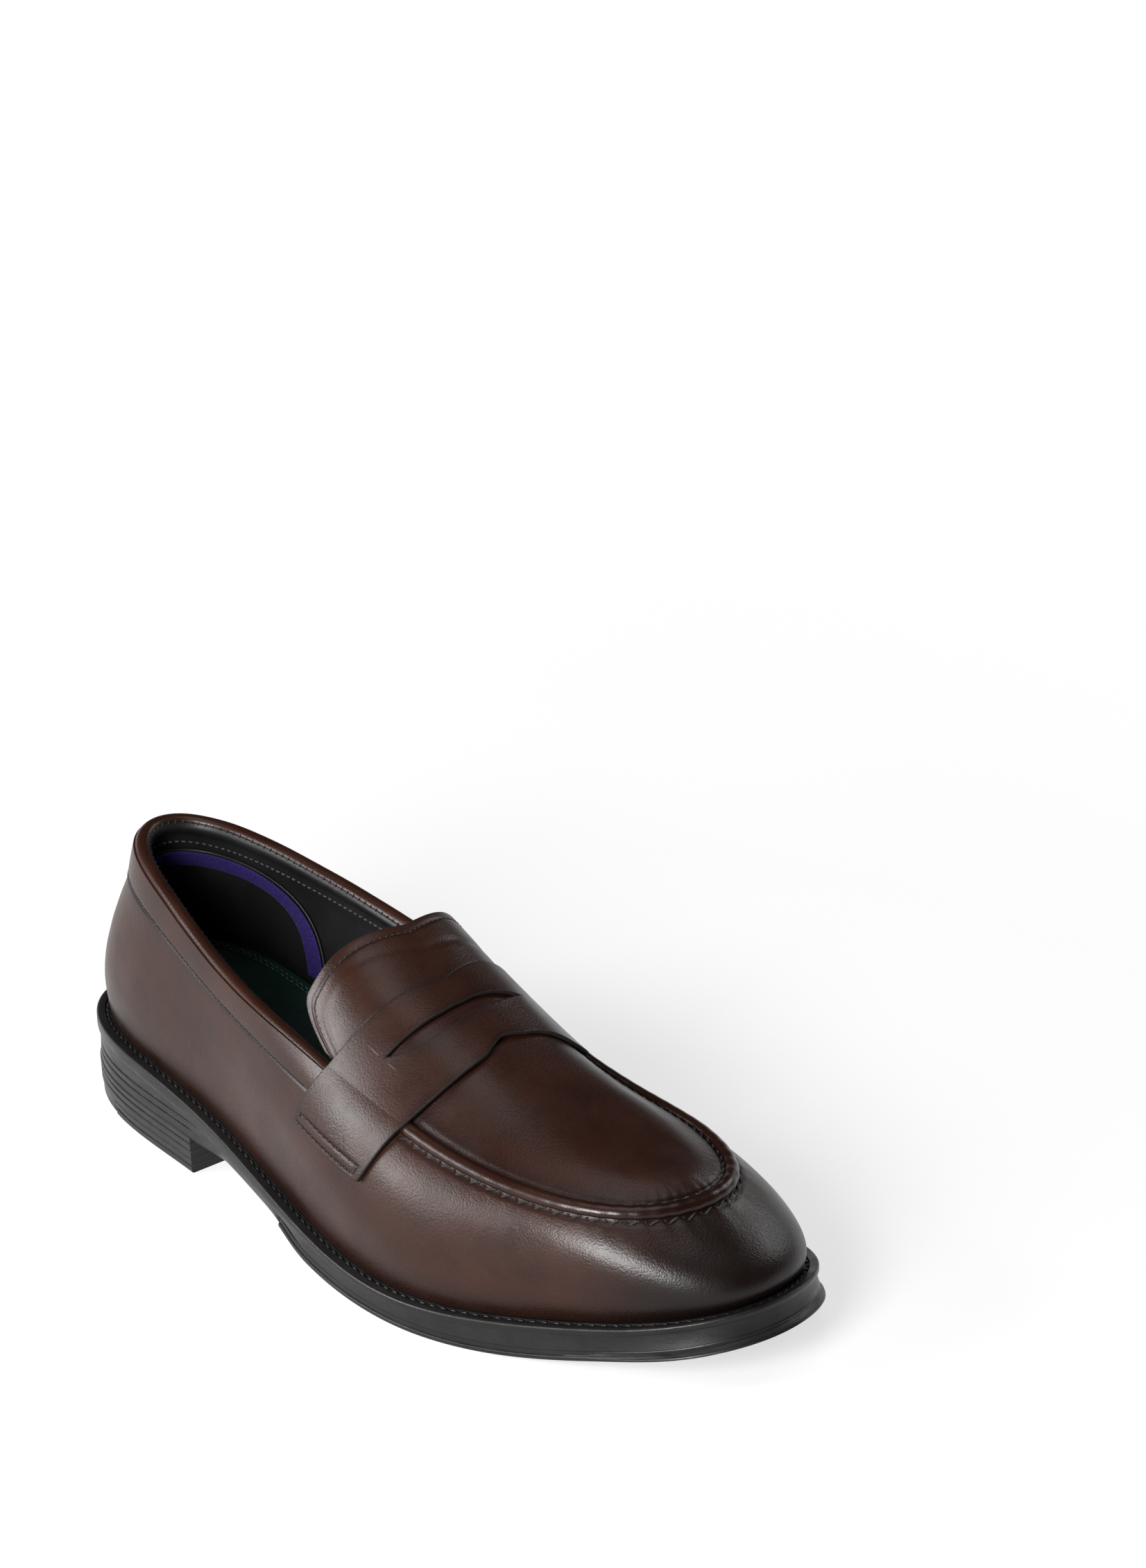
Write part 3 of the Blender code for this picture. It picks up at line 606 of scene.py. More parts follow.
def plain_leather(name, low, high, rough, size=1.0):
    n = Nodes(name)
    return n.done(n.mottle(low, high, 45, 4.0, 0.6), n.drift(rough - 0.05, rough + 0.07, 80),
                  pebbled(n, size, 0.00005), Specular_IOR_Level=0.22)


def thread(name, colour, bright):
    n = Nodes(name)
    twist = n.add("ShaderNodeTexWave", wave_type="BANDS", bands_direction="DIAGONAL", Scale=900.0,
                  Distortion=1.5, Vector=n.place)
    return n.done(n.mottle(colour, bright, 600, 2.0), 0.62, n.bump(twist.outputs["Fac"], 0.00012))


def rubber(name, low, high, rough):
    """Moulded sole rubber: nearly black, faintly dusty, with scuffs in its gloss."""
    n = Nodes(name)
    colour = n.mix(n.span(n.noise(120, 6.0, 0.65), 0.35, 0.75), low, high)
    smear = n.add("ShaderNodeMapping", Vector=n.place)
    smear.inputs["Scale"].default_value = (1, 1, 9)
    gloss = n.drift(rough - 0.08, rough + 0.1, 90, 5.0, 0.6, vector=smear.outputs[0])
    fine = n.bump(n.noise(2400, 3.0, 0.6), 0.00004)
    return n.done(colour, gloss, n.bump(n.noise(140, 3.0), 0.00025, 0.35, fine),
                  Specular_IOR_Level=0.26)


def grosgrain():
    n = Nodes("grosgrain")
    return n.done(n.mottle((0.0055, 0.0020, 0.028), (0.015, 0.0058, 0.080), 1500, 2.0), 0.7,
                  n.bump(n.noise(3200, 2.0), 0.00012), Specular_IOR_Level=0.2, Sheen_Weight=0.05,
                  Sheen_Roughness=0.4)


def fibre(name, low, high, scale=300):
    n = Nodes(name)
    return n.done(n.mottle(low, high, scale, 6.0, 0.7), 0.88, n.bump(n.noise(scale * 3, 4.0, 0.7), 0.0003))


def brushed_steel():
    n = Nodes("brushed_steel")
    stretch = n.add("ShaderNodeMapping", Vector=n.place)
    stretch.inputs["Scale"].default_value = (1, 30, 30)
    streak = n.noise(120, 4.0, vector=stretch.outputs[0])
    return n.done(n.mix(streak, (0.42, 0.42, 0.43), (0.6, 0.6, 0.61)), n.span(streak, 0.3, 0.7, 0.25, 0.4),
                  Metallic=1.0)


LEATHER_MAT = brown_leather("brown_leather")
FINE_LEATHER = brown_leather("brown_leather_fine", 0.8, 0.00006, 0.33)
ROLL_LEATHER = brown_leather("brown_leather_rolled", 0.8, 0.00004, 0.30)
EDGE = cut_edge()
BLACK = plain_leather("black_lining", (0.003, 0.003, 0.003), (0.0065, 0.0065, 0.0068), 0.42)
GREEN = plain_leather("green_sock", (0.0010, 0.0085, 0.0058), (0.0022, 0.0150, 0.0105), 0.5, 1.2)
THREAD = thread("dark_thread", (0.0022, 0.0016, 0.0014), (0.0075, 0.0055, 0.0050))
BLACK_THREAD = thread("black_thread", (0.02, 0.02, 0.02), (0.05, 0.05, 0.05))
GREEN_THREAD = thread("green_thread", (0.004, 0.016, 0.012), (0.012, 0.04, 0.03))
RUBBER = rubber("sole_rubber", (0.0045, 0.0041, 0.0040), (0.0085, 0.0080, 0.0078), 0.40)
SOFT_RUBBER = rubber("welt_rubber", (0.0038, 0.0034, 0.0033), (0.007, 0.0063, 0.0061), 0.36)
TAPE = grosgrain()
FOAM = (0.45, 0.42, 0.33), (0.62, 0.58, 0.47)
HIDDEN = {
    "vamp_lining": BLACK, "apron_lining": BLACK,
    "collar_padding": fibre("pale_foam", *FOAM),
    "footbed_cushion": fibre("footbed_foam", *FOAM),
    "heel_counter": fibre("fibre_board", (0.24, 0.17, 0.10), (0.36, 0.26, 0.17)),
    "insole_board": fibre("insole_fibre", (0.26, 0.18, 0.11), (0.38, 0.28, 0.18)),
    "toe_puff": fibre("stiffened_cloth", (0.22, 0.17, 0.12), (0.34, 0.28, 0.21), 700),
    "cork_filler": fibre("ground_cork", (0.13, 0.07, 0.03), (0.36, 0.21, 0.10), 450),
    "steel_shank": brushed_steel(),
}
for node, mat in HIDDEN.items():
    item = frame["nodes"][node]
    item.data.materials.clear()
    item.data.materials.append(mat)


# ---- the upper ------------------------------------------------------------------------------------
def joined(verts, faces):
    """Joins points that coincide. The last result picks the points that stay."""
    key = np.round(verts / 2e-3 + 0.37).astype(np.int64)
    _, first, back = np.unique(key, axis=0, return_index=True, return_inverse=True)
    return verts[first], back.ravel()[faces], first


def weld(verts, faces):
    """Joins points that coincide, and leaves out faces that shrink to a line."""
    verts, faces, _ = joined(verts, faces)
    tidy = []
    for face in faces.tolist():
        face = [v for k, v in enumerate(face) if v != face[k - 1]]
        if len(set(face)) == len(face) > 2:
            tidy.append(face)
    return verts, tidy


def edge_point(u, inset, height):
    """Points inside the ledge's outline, at heights given for each x."""
    plan = outline(u, inset)[0]
    return np.concatenate([plan, np.asarray(height(plan[..., 0]))[..., None]], -1)


def upwards(path):
    return np.tile([0, 0, 1.0], (len(path), 1))


def quads(faces):
    return np.array([f if len(f) == 4 else f + [f[-1]] for f in faces])


def rim_offset(u, height, depth):
    """A point at a height above the rim, negative below it, and at a depth inside the outer surface."""
    return surf(u, beside_rim(u, height), -np.asarray(depth, float))


RUN_U = np.linspace(0, 2, 1601)
RIM_RUN = running(upper_point(RUN_U, 1.0))


def pucker(u, pitch):
    """Waves along the rim, one to a stitch."""
    return np.cos(2 * pi * np.interp(np.mod(u, 2.0), RUN_U, RIM_RUN) / pitch)


def toe_share(u):
    """1 round the toe, falling to 0.35 along the sides."""
    return 0.35 + 0.65 * smooth(from_heel(u), 0.74, 0.9)


def wall_darkening(point, t):
    """Tone of the wall: nearly black at the burnished toe tip, and darker low down along the welt."""
    return (1 - 0.86 * smooth(point[..., 0], 252, 284)) * (0.5 + 0.5 * smooth(t, 0.02, 0.22))


def wall_top(u):
    front = smooth(from_heel(u), COLLAR_END, COLLAR_END + 0.02)
    under_band = BAND_EDGE + 0.012
    return under_band + (beside_rim(u, -1.2) - under_band) * front


def make_wall():
    u, s = spread(np.linspace(0, 2, 760, endpoint=False), 64)
    t = s * wall_top(u)
    point = upper_point(u, t)
    below = (1 - t) * 3 * WALL_PULL * np.linalg.norm(upper_point(u, 1.0) - upper_point(u, 0.0), axis=-1)
    ahead = smooth(from_heel(u), 0.56, 0.62)
    groove = -0.35 * hump(below, 3.3, 0.9)
    pleat = 0.09 * pucker(u, OUTER_PUCKER) * np.exp(-np.abs(below - 3.6) / 3.2)
    lift = 0.15 * waves(point, 11.0, 0.6) + 0.04 * waves(point, 4.5, 2.0)
    lift = (lift + ahead * (groove + pleat * toe_share(u))) * smooth(t, 0.0, 0.06)
    # Painted shade: the wall is darkened along the groove under the moccasin ridge, where the outer stitches
    # sit.
    groove_shade = 1 - 0.35 * ahead * hump(below, 3.3, 2.2)
    # Painted shade: at the rear the wall's top is darkened where it runs under the collar band's lower edge.
    rear = 1 - 0.25 * (1 - ahead) * smooth(t, BAND_EDGE - 0.06, BAND_EDGE)
    sheet("wall", u, t, lift, LEATHER, [LEATHER_MAT, EDGE], wrap=True, tone=wall_darkening(point, t) * groove_shade * rear,
          nodes=["side_wall"])


def band_section():
    """Depths and heights of the collar's section, over the roll and down inside to its tucked edge."""
    turn = np.radians(np.linspace(0, ROLL_TURN, 17))
    over = [(ROLL * (1 - np.cos(a)), ROLL * (np.sin(a) - 1)) for a in turn]
    depth, height = over[-1]
    tucked = [(depth - 0.1, height - 0.3), (depth - 0.6, height - 0.8), (depth - 1.1, height - 1.2)]
    return over + tucked


def make_collar():
    """A folded strip: stitched low on the outside, padded, rolled over the topline and turned in."""
    count = 520
    u = np.linspace(-COLLAR_END, COLLAR_END, count)
    low, high = BAND_EDGE, beside_rim(u, -ROLL)
    rows = []
    wrinkle = 0.10 * waves(upper_point(u, 0.95), 6.0, 3.0)
    for s in (0.0, 0.035, 0.08, 0.125, 0.17, *np.linspace(0.22, 0.97, 18)):
        t = low + (high - low) * s
        valley = -0.30 * hump(t - low, 0.0185, 0.009)
        puff = 0.75 * np.sin(pi * np.clip((t - low - 0.02) / (1.06 - low), 0, 1)) ** 0.8
        rows.append(surf(u, t, 0.32 + valley + puff + wrinkle * s))
    for depth, height in band_section():
        rows.append(rim_offset(u, height, depth - 0.45 * (depth < ROLL) - wrinkle))
    t_in = beside_rim(u, -ROLL - 1.0)
    for s in (0.0, 0.5, 1.0):
        rows.append(surf(u, t_in * (1 - s) + (low + 0.005) * s, -1.0))
    rows.append(surf(u, low, -0.3))
    grid = np.stack(rows, 1)
    m = grid.shape[1]
    verts, faces = grid.reshape(-1, 3), grid_faces(count, m, wrap_cols=True)
    caps = [list(range(m))[::-1], [(count - 1) * m + j for j in range(m)]]
    # Painted shade: the first rows, at the band's lower edge and in the stitch valley just above it, are
    # darkened.
    tone = np.full(m, 0.97)
    tone[:4] -= 0.75, 0.35, 0.9, 0.35
    collar = make_mesh("collar", verts, faces.tolist() + caps, FINE_LEATHER, tone=np.tile(tone, count),
                       nodes=["collar_band"])
    u = np.linspace(-0.508, 0.508, 900)
    seam("collar_stitches", u, BAND_EDGE + 0.020, 0.20, COLLAR_ROW, THREAD, sink=0.0, hole=0.3,
         nodes=["collar_thread"])
    u = np.linspace(-LINING_END, LINING_END, 900)
    seam("collar_whip_stitches", u, beside_rim(u, -1.5), -(2 * ROLL + 0.05), WHIP_ROW, THREAD, inside=True,
         slant=1.2, slot="collar_thread")


def make_linings():
    u, s = spread(np.linspace(-LINING_END, LINING_END, 420), 60)
    t = 0.02 + s * (beside_rim(u, -1.5) - 0.02)
    below = (1 - t) / (1 - beside_rim(u, -1.0))
    roll = 1.1 * np.exp(-((below - 3.6) / 1.7) ** 4) + 0.15 * hump(below, 9.6, 2.0)
    point = upper_point(u, t)
    rest = 0.10 * waves(point, 8.0, 4.0)
    room = smooth(t, POCKET_BACK - 0.02, POCKET_BACK + 0.01) + smooth(from_heel(u), 0.30, 0.34)
    depth = LINING_FACE + (roll + rest) * np.clip(room, 0, 1)
    sheet("lining", u, t, -depth, 1.0, [BLACK, BLACK], inward=True, nodes=["quarter_lining"])
    u = np.linspace(-0.45, 0.45, 900)
    seam("lining_stitches", u, beside_rim(u, -8.8), -(LINING_FACE + 0.5), LINING_ROW, BLACK_THREAD,
         inside=True, slot="collar_thread")
    u, s = spread(np.linspace(-POCKET_FRONT, POCKET_FRONT, 260), 40)
    top = pocket_top(u)
    t = POCKET_FOOT - 0.02 + s * (top - POCKET_FOOT + 0.02)
    depth = POCKET_FACE + 0.12 * waves(upper_point(u, t), 9.0, 5.0)
    sheet("pocket", u, t, -depth, 0.8, [BLACK, BLACK], inward=True, nodes=["heel_pocket_lining"])
    make_ribbon()


def pocket_top(u):
    fall = np.clip(from_heel(u) / POCKET_FRONT, 0, 1)
    return POCKET_FOOT + (POCKET_BACK - POCKET_FOOT) * (1 - fall ** 8.0)


def pocket_edge(count, inset):
    """Evenly spaced u and t along the heel pocket's front edge, moved back into the pocket."""
    u = np.linspace(-POCKET_FRONT, POCKET_FRONT, 801)
    flat = np.stack([u * HEEL_GIRTH, pocket_top(u) * HEEL_RISE], -1)
    way = unit(np.gradient(flat, axis=0))
    run = running(flat)
    flat += np.stack([way[:, 1], -way[:, 0]], -1) * inset
    place = np.linspace(0, run[-1], count)
    u, t = (np.interp(place, run, flat[:, i]) for i in (0, 1))
    return u / HEEL_GIRTH, np.maximum(t / HEEL_RISE, POCKET_FOOT)


def make_ribbon():
    count, rows = 2200, []
    for inset in np.linspace(0, 5.0, 9):
        u, t = pocket_edge(count, inset)
        rib = np.abs(np.sin(np.arange(count) * pi / 7.3)) ** 0.7 * 0.16
        edge = 0.12 * (1 - smooth(min(inset, 5 - inset), 0.0, 0.5))
        rows.append(surf(u, t, -(RIBBON_FACE + rib - edge)))
    grid = np.stack(rows, 1)
    thicken("ribbon", grid.reshape(-1, 3), grid_faces(count, 9), 0.5, [TAPE, TAPE], edge=0.12,
            nodes=["heel_ribbon"])


def footbed(x):
    return ledge_z(x) + SOCK_TOP + HEEL_PAD * np.clip((PAD_END - x) / PAD_FADE, 0, 1)


def make_sock():
    rows, cols = 200, 50
    u = np.linspace(0, 1, rows)
    lateral, medial = outline(u, FOOTBED_INSET)[0], outline(2 - u, FOOTBED_INSET)[0]
    s = (1 - np.cos(np.linspace(0, pi, cols))) / 2
    plan = lateral[:, None] * (1 - s)[None, :, None] + medial[:, None] * s[None, :, None]
    x = plan[..., 0]
    cup = 1.6 * (np.abs(2 * s - 1) ** 4)[None] * smooth(PAD_END - x, 0, PAD_FADE)
    verts = np.concatenate([plan, (footbed(x) + cup)[..., None]], -1)
    verts[..., 2] += 0.12 * waves(verts, 10.0, 6.0)
    verts, faces = weld(verts.reshape(-1, 3), grid_faces(rows, cols))
    thicken("sock", verts, quads(faces), 1.1, [GREEN, EDGE], nodes=["sock_liner"])
    for name, inset, nodes in (("sock_stitches", 2.0, ["sock_thread"]), ("sock_stitches_inner", 3.6, [])):
        path = edge_point(np.linspace(0, 2, 1200), FOOTBED_INSET + inset,
                          lambda x: footbed(x) + 1.35 * smooth(PAD_END - x, 0, PAD_FADE) + 0.25)
        stitches(name, path, upwards(path), SOCK_ROW, GREEN_THREAD, sink=0.0, closed=True, nodes=nodes,
                 slot="sock_thread")


# ---- tongue, strap and apron ----------------------------------------------------------------------
def strap_rear(v):
    return 0.5445 - 0.0445 * v ** 2.6


def strap_front(v):
    return 0.626 + 0.008 * np.minimum(v / 0.12, 1) - 0.052 * v ** 2.4


def tongue_rear(v):
    return 0.478 + 0.040 * np.clip((v - 0.80) / 0.20, 0, 1) ** 2


def across_grid(v, rear, front, t_edge, rows):
    """u and t over the instep, from its lateral to its medial edge, between two lines given as from_heel."""
    t = 2 - np.abs(v) * (2 - t_edge)
    w = np.linspace(0, 1, rows)[:, None]
    u = rear[None] * (1 - w) + front[None] * w
    return np.where(v[None] < 0, u, 2 - u), np.repeat(t[None], rows, 0)


def hinged(piece):
    """Bakes the piece's placement into its mesh; it is not attached to the shoe or to any body."""
    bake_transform(piece)


def make_tongue():
    v = np.linspace(-1, 1, 170)
    av = np.abs(v)
    root = strap_rear(av * (2 - TONGUE_EDGE) / (2 - STRAP_END)) + 0.012
    u, t = across_grid(v, tongue_rear(av), root, TONGUE_EDGE, 60)
    point = upper_point(u, t)
    back = (from_heel(u) - tongue_rear(av)[None]) * INSTEP_RUN
    strap = (from_heel(u) - (root - 0.012)[None]) * INSTEP_RUN
    crease = -0.14 * hump(back - 9 - 3 * np.sin(v * 3)[None], 0, 1.3)
    valley = -0.24 * hump(back, 2.5, 0.6)
    lift = 0.3 + 0.06 * waves(point, 10.0, 1.5) + crease + valley - 0.9 * smooth(strap, -1.0, 2.5)
    # Painted shade: the tongue is darkened where it slips under the strap's rear edge, and in the stitch
    # valley near its rear edge.
    tone = 0.96 - 0.4 * hump(strap, 0, 1.6) - 0.7 * hump(back, 2.5, 0.45)
    hinged(sheet("tongue", u, t, lift, LEATHER, [FINE_LEATHER, EDGE], tone=tone, nodes=["tongue"],
                 ride=False))
    u, t = across_grid(v, tongue_rear(av) - 0.002, root - 0.004, TONGUE_EDGE - 0.01, 24)
    depth = LEATHER + 0.25 + 0.9 * smooth((from_heel(u) - tongue_rear(av)[None]) * INSTEP_RUN, 14.0, 18.0)
    hinged(sheet("tongue_lining", u, t, -depth, 0.9, [BLACK, BLACK], nodes=["tongue_lining"], ride=False))
    v = np.linspace(-0.93, 0.93, 600)
    av = np.abs(v)
    line = tongue_rear(av) + 0.008 + 0.010 * av ** 6
    u = np.where(v < 0, line, 2 - line)
    hinged(seam("tongue_stitches", u, 2 - av * (2 - TONGUE_EDGE), 0.14, TONGUE_ROW, THREAD, sink=0.0,
                hole=0.34, nodes=["tongue_thread"], ride=False))


def strap_lift(v, w):
    """Height of the strap's face over the upper: low at the rear and the ends, raised at the front edge."""
    middle = (1 - smooth(np.abs(v), 0.62, 0.92)) * (1 - 0.8 * smooth(v, -0.05, 0.25))
    rear = 1.12 + 0.45 * hump(np.abs(v), 0.64, 0.16)
    front = 1.6 + 1.5 * middle
    return rear + (front - rear) * np.clip(w, 0, 1) ** 1.5 + 0.35 * np.sin(pi * np.clip(w, 0, 1))


def slit_lines(v):
    """Distances from the heel at which columns of the strap meet the slit's rear and front lips."""
    rear, front = strap_rear(np.abs(v)), strap_front(np.abs(v))
    w = np.linspace(0, 1, 300)[:, None]
    u = rear * (1 - w) + front * w
    t = np.repeat((2 - np.abs(v) * (2 - STRAP_END))[None], 300, 0)
    place = surf(np.where(v[None] < 0, u, 2 - u), t, strap_lift(v[None], w))
    found = []
    for line in (slit_rear, slit_front):
        gap = place[..., 0] - line(np.clip(place[..., 1], *SLIT_Y))
        found.append(np.argmax(gap > 0, axis=0) / 299)
    middle = np.argmax(place[..., 0] - slit_rear(np.clip(place[..., 1], *SLIT_Y)) > 0, axis=0)
    y = place[middle, np.arange(len(v)), 1]
    return found[0], found[1], y


def strap_columns():
    fine = np.linspace(-1, 1, 4001)
    near = fine[(np.abs(fine) < 0.75)]
    y = slit_lines(near)[2]
    tips = [near[np.argmin(np.abs(y - end))] for end in SLIT_Y]
    outer = [np.linspace(-1, tips[0], 100), np.linspace(tips[1], 1, 110)]
    inner = tips[0] + (tips[1] - tips[0]) * (1 - np.cos(np.linspace(0, pi, 61))) / 2
    return np.concatenate([outer[0][:-1], inner, outer[1][1:]]), tips


STITCH_BOX = np.array([(0.510, 0.590), (0.577, 0.565), (0.583, 0.630), (0.514, 0.655)])


def stitch_track(t, u):
    """1 on the stitched box at each end of the strap, falling to 0 beside it; it sinks a groove there and
    paints shade along it.
    """
    scale = np.array(BOX_RUN)
    place = np.stack([u, t], -1) * scale
    nearest = np.full(u.shape, 1e9)
    for i in range(4):
        a, b = STITCH_BOX[i] * scale, STITCH_BOX[(i + 1) % 4] * scale
        s = np.clip(((place - a) @ (b - a)) / ((b - a) @ (b - a)), 0, 1)
        nearest = np.minimum(nearest, np.linalg.norm(place - a - s[..., None] * (b - a), axis=-1))
    return hump(nearest, 0, 0.8)


def make_strap():
    v, tips = strap_columns()
    low, high, _ = slit_lines(v)
    inside = (v > tips[0]) & (v < tips[1])
    at = [np.argmin(np.abs(v - tip)) for tip in tips]
    mean = (low + high) / 2
    edge = np.where(v <= tips[0], mean[at[0]], mean[at[1]])
    low, high = np.where(inside, low, edge), np.where(inside, high, edge)
    for line in (low, high):
        line[at[0]:at[1] + 1] = np.convolve(np.pad(line[at[0]:at[1] + 1], 2, "edge"), np.ones(5) / 5, "valid")
    low[~inside] = high[~inside] = edge[~inside]
    rear, front = strap_rear(np.abs(v)), strap_front(np.abs(v))
    tones, verts, faces, start = [], [], [], 0
    for first, last, rows in ((np.zeros_like(v), low, 24), (high, np.ones_like(v), 36)):
        w = first[None] + (last - first)[None] * np.linspace(0, 1, rows)[:, None]
        u = rear * (1 - w) + front * w
        t = np.repeat((2 - np.abs(v) * (2 - STRAP_END))[None], rows, 0)
        side = np.where(v[None] < 0, u, 2 - u)
        near_slit = np.minimum(np.abs(w - low[None]), np.abs(w - high[None])) * STRAP_RUN
        dip = np.where(inside[None], 0.15 * np.exp(-near_slit / 1.5), 0)
        lift = strap_lift(v[None], w) + 0.10 * waves(upper_point(side, t), 10.0, 2.5) + dip
        track = stitch_track(t, u)
        verts.append(surf(side, t, lift - 0.15 * track).reshape(-1, 3))
        faces.append(grid_faces(rows, len(v), start=start))
        start += rows * len(v)
        # Painted shade: the strap's face is darkened along its front and rear edges, round the slit's lips
        # and along the stitched boxes.
        rim = hump((1 - w) * STRAP_RUN, 0, 1.6) + 0.6 * hump(w * STRAP_RUN, 0, 1.2)
        rim = rim + np.where(inside[None], np.exp(-near_slit / 1.2), 0)
        tones.append((1 - 0.55 * np.clip(rim, 0, 1) - 0.35 * track).ravel())
    verts, faces, first = joined(np.concatenate(verts), np.concatenate(faces))
    thicken("strap", verts, faces, 1.25, [LEATHER_MAT, EDGE], edge=0.25, tone=np.concatenate(tones)[first],
            nodes=["penny_strap"])
    make_strap_stitches()


def make_strap_stitches():
    ends = [(STITCH_BOX[i], STITCH_BOX[(i + 1) % 4]) for i in range(4)]
    line = np.concatenate([a + (b - a) * np.linspace(0, 1, 120)[:-1, None] for a, b in ends])
    for side, flip in (("lateral", False), ("medial", True)):
        u, t = line.T
        v = (2 - t) / (2 - STRAP_END)
        w = (u - strap_rear(v)) / (strap_front(v) - strap_rear(v))
        seam(f"strap_stitches_{side}", 2 - u if flip else u, t, strap_lift(v, w) - 0.02, STRAP_ROW, THREAD,
             sink=0.0, hole=0.42, closed=True, nodes=[f"strap_stitch_{side}"])


def make_apron():
    count, rows = 420, 60
    u, s = spread(np.linspace(APRON_START, 2 - APRON_START, count), rows)
    low = beside_rim(u, 1.0)
    t = low + (2 - low) * s
    above = s * np.linalg.norm(upper_point(u, 2.0) - upper_point(u, 1.0), axis=-1) + 1.0
    point = upper_point(u, t)
    ahead = smooth(from_heel(u), 0.58, 0.62)
    medial = smooth(u, 0.85, 0.95)
    crease = -0.45 * hump(above, 2.6, 0.8)
    pleat = 0.07 * pucker(u, INNER_PUCKER) * np.exp(-np.abs(above - 3.4) / 2.4) * medial
    dome = 0.35 * smooth(above, 3, 16)
    lift = 0.13 * waves(point, 12.0, 0.2) + 0.03 * waves(point, 5.0, 1.1)
    lift = lift + ahead * (crease + pleat) + dome * ahead
    tip = 1 - 0.25 * smooth(point[..., 0], 235, 268)
    # Painted shade: the apron is darkened in the crease beside the ridge; tip is the burnish of the toe.
    tone = tip * (1 - 0.5 * hump(above, 2.6, 3.4)) * 0.9
    base, normal, _ = upper_frame(u, t)
    _, crest, _ = upper_frame(u, np.full_like(u, 2.0))
    blend = smooth(t, 1.75, 2.0)[..., None]
    normal = normal * (1 - blend) + crest * blend
    calm = smooth(np.hypot(point[..., 0] - SPINE_X[1], point[..., 1] - spine_y(SPINE_X[1])), 1, 9)
    lift = lift * calm + 0.35 * (1 - calm)
    verts = (base + normal * lift[..., None]).reshape(-1, 3)
    # The columns all meet at the spine's end, so one smooth cubic patch replaces their heights round it
    x, y = verts[:, 0] - SPINE_X[1], verts[:, 1] - spine_y(SPINE_X[1])
    away = np.hypot(x, y)
    terms = np.stack([x ** i * y ** j for i in range(4) for j in range(4 - i)], -1)
    near = (away > 5) & (away < 17)
    fit = terms @ np.linalg.lstsq(terms[near], verts[near, 2], rcond=None)[0]
    verts[:, 2] += (fit - verts[:, 2]) * (1 - smooth(away, 7, 14))
    verts, faces, first = joined(verts, grid_faces(count, rows))
    thicken("apron", verts, faces, LEATHER, [LEATHER_MAT, EDGE], tone=tone.ravel()[first], nodes=["apron"])


def make_ridge():
    u = np.linspace(RIDGE_START, 2 - RIDGE_START, 640)
    point, normal, rise = upper_frame(u, np.ones_like(u))
    angle = np.linspace(0, 2 * pi, 22, endpoint=False)
    wave = (0.10 * pucker(u, OUTER_PUCKER) * toe_share(u))[:, None]
    across = np.cos(angle)[None] * (RIDGE_HALF + wave)
    high = np.where(np.sin(angle) > 0, RIDGE_HIGH, 1.1)[None] * np.sin(angle)[None] * (1 + 0.3 * wave)
    section = np.stack([across, high + 0.05 * waves(point, 5.0, 2.2)[:, None]], -1)
    # Painted shade: the ridge is darkened along its base on both sides, where it meets the leather; the toe
    # end is darker by burnish.
    tone = np.tile(0.8 - 0.45 * hump(np.sin(angle), -0.1, 0.45), (len(u), 1))
    tone *= (1 - 0.5 * smooth(point[:, 0], 250, 272))[:, None]
    sweep("ridge", point, rise, normal, section, ROLL_LEATHER, tone=np.append(tone.ravel(), [0.5, 0.5]),
          nodes=["apron_ridge"])
    v = np.linspace(0.616, 1.384, 1500)
    seam("ridge_outer_stitches", v, beside_rim(v, -3.0), 0.05, RIDGE_OUTER_ROW, THREAD, sink=0.1, slant=0.42,
         hole=0.5, nodes=["apron_outer_thread"])
    v = np.linspace(0.87, 1.384, 1100)
    seam("ridge_inner_stitches", v, beside_rim(v, 2.8), -0.05, RIDGE_INNER_ROW, THREAD, slant=-0.3, hole=0.4,
         nodes=["apron_inner_thread"])


# ---- the bottom -----------------------------------------------------------------------------------
def lip(x):
    """Height of the moulded lip under the ledge."""
    return 4.7 - 2.4 * smooth(x, 105, 165)


def make_welt():
    count = 900
    u = np.linspace(0, 2, count, endpoint=False)
    corner = np.radians(np.linspace(90, 0, 6))
    top = [(11.8, 0.0), (6.0, 0.0), (4.35, -0.1), (4.2, -0.8), (2.95, -0.8), (2.75, -0.05), (2.0, 0.05)]
    top += [(0.9 - 0.9 * np.cos(a), 0.9 * np.sin(a) - 0.9) for a in corner]
    rows = [edge_point(u, inset, lambda x, h=h: ledge_z(x) + h) for inset, h in top]
    for f, inset in ((0.35, 0.02), (0.7, 0.0), (0.9, 0.08), (0.97, 0.3), (1.0, 0.7), (1.0, 2.0)):
        rows.append(edge_point(u, inset, lambda x, f=f: ledge_z(x) - 0.9 - f * (lip(x) - 0.9)))
    rows += [edge_point(u, 11.8, lambda x: ledge_z(x) - WELT)]
    grid = np.stack(rows, 1)
    make_mesh("welt_lip", grid.reshape(-1, 3), grid_faces(count, len(rows), True, True), SOFT_RUBBER,
              nodes=["welt"])
    path = edge_point(np.linspace(0, 2, 2400), 3.55, lambda x: ledge_z(x) - 0.42)
    stitches("welt_stitches", path, upwards(path), WELT_ROW, RUBBER, sink=0.12, closed=True,
             nodes=["welt_thread"])


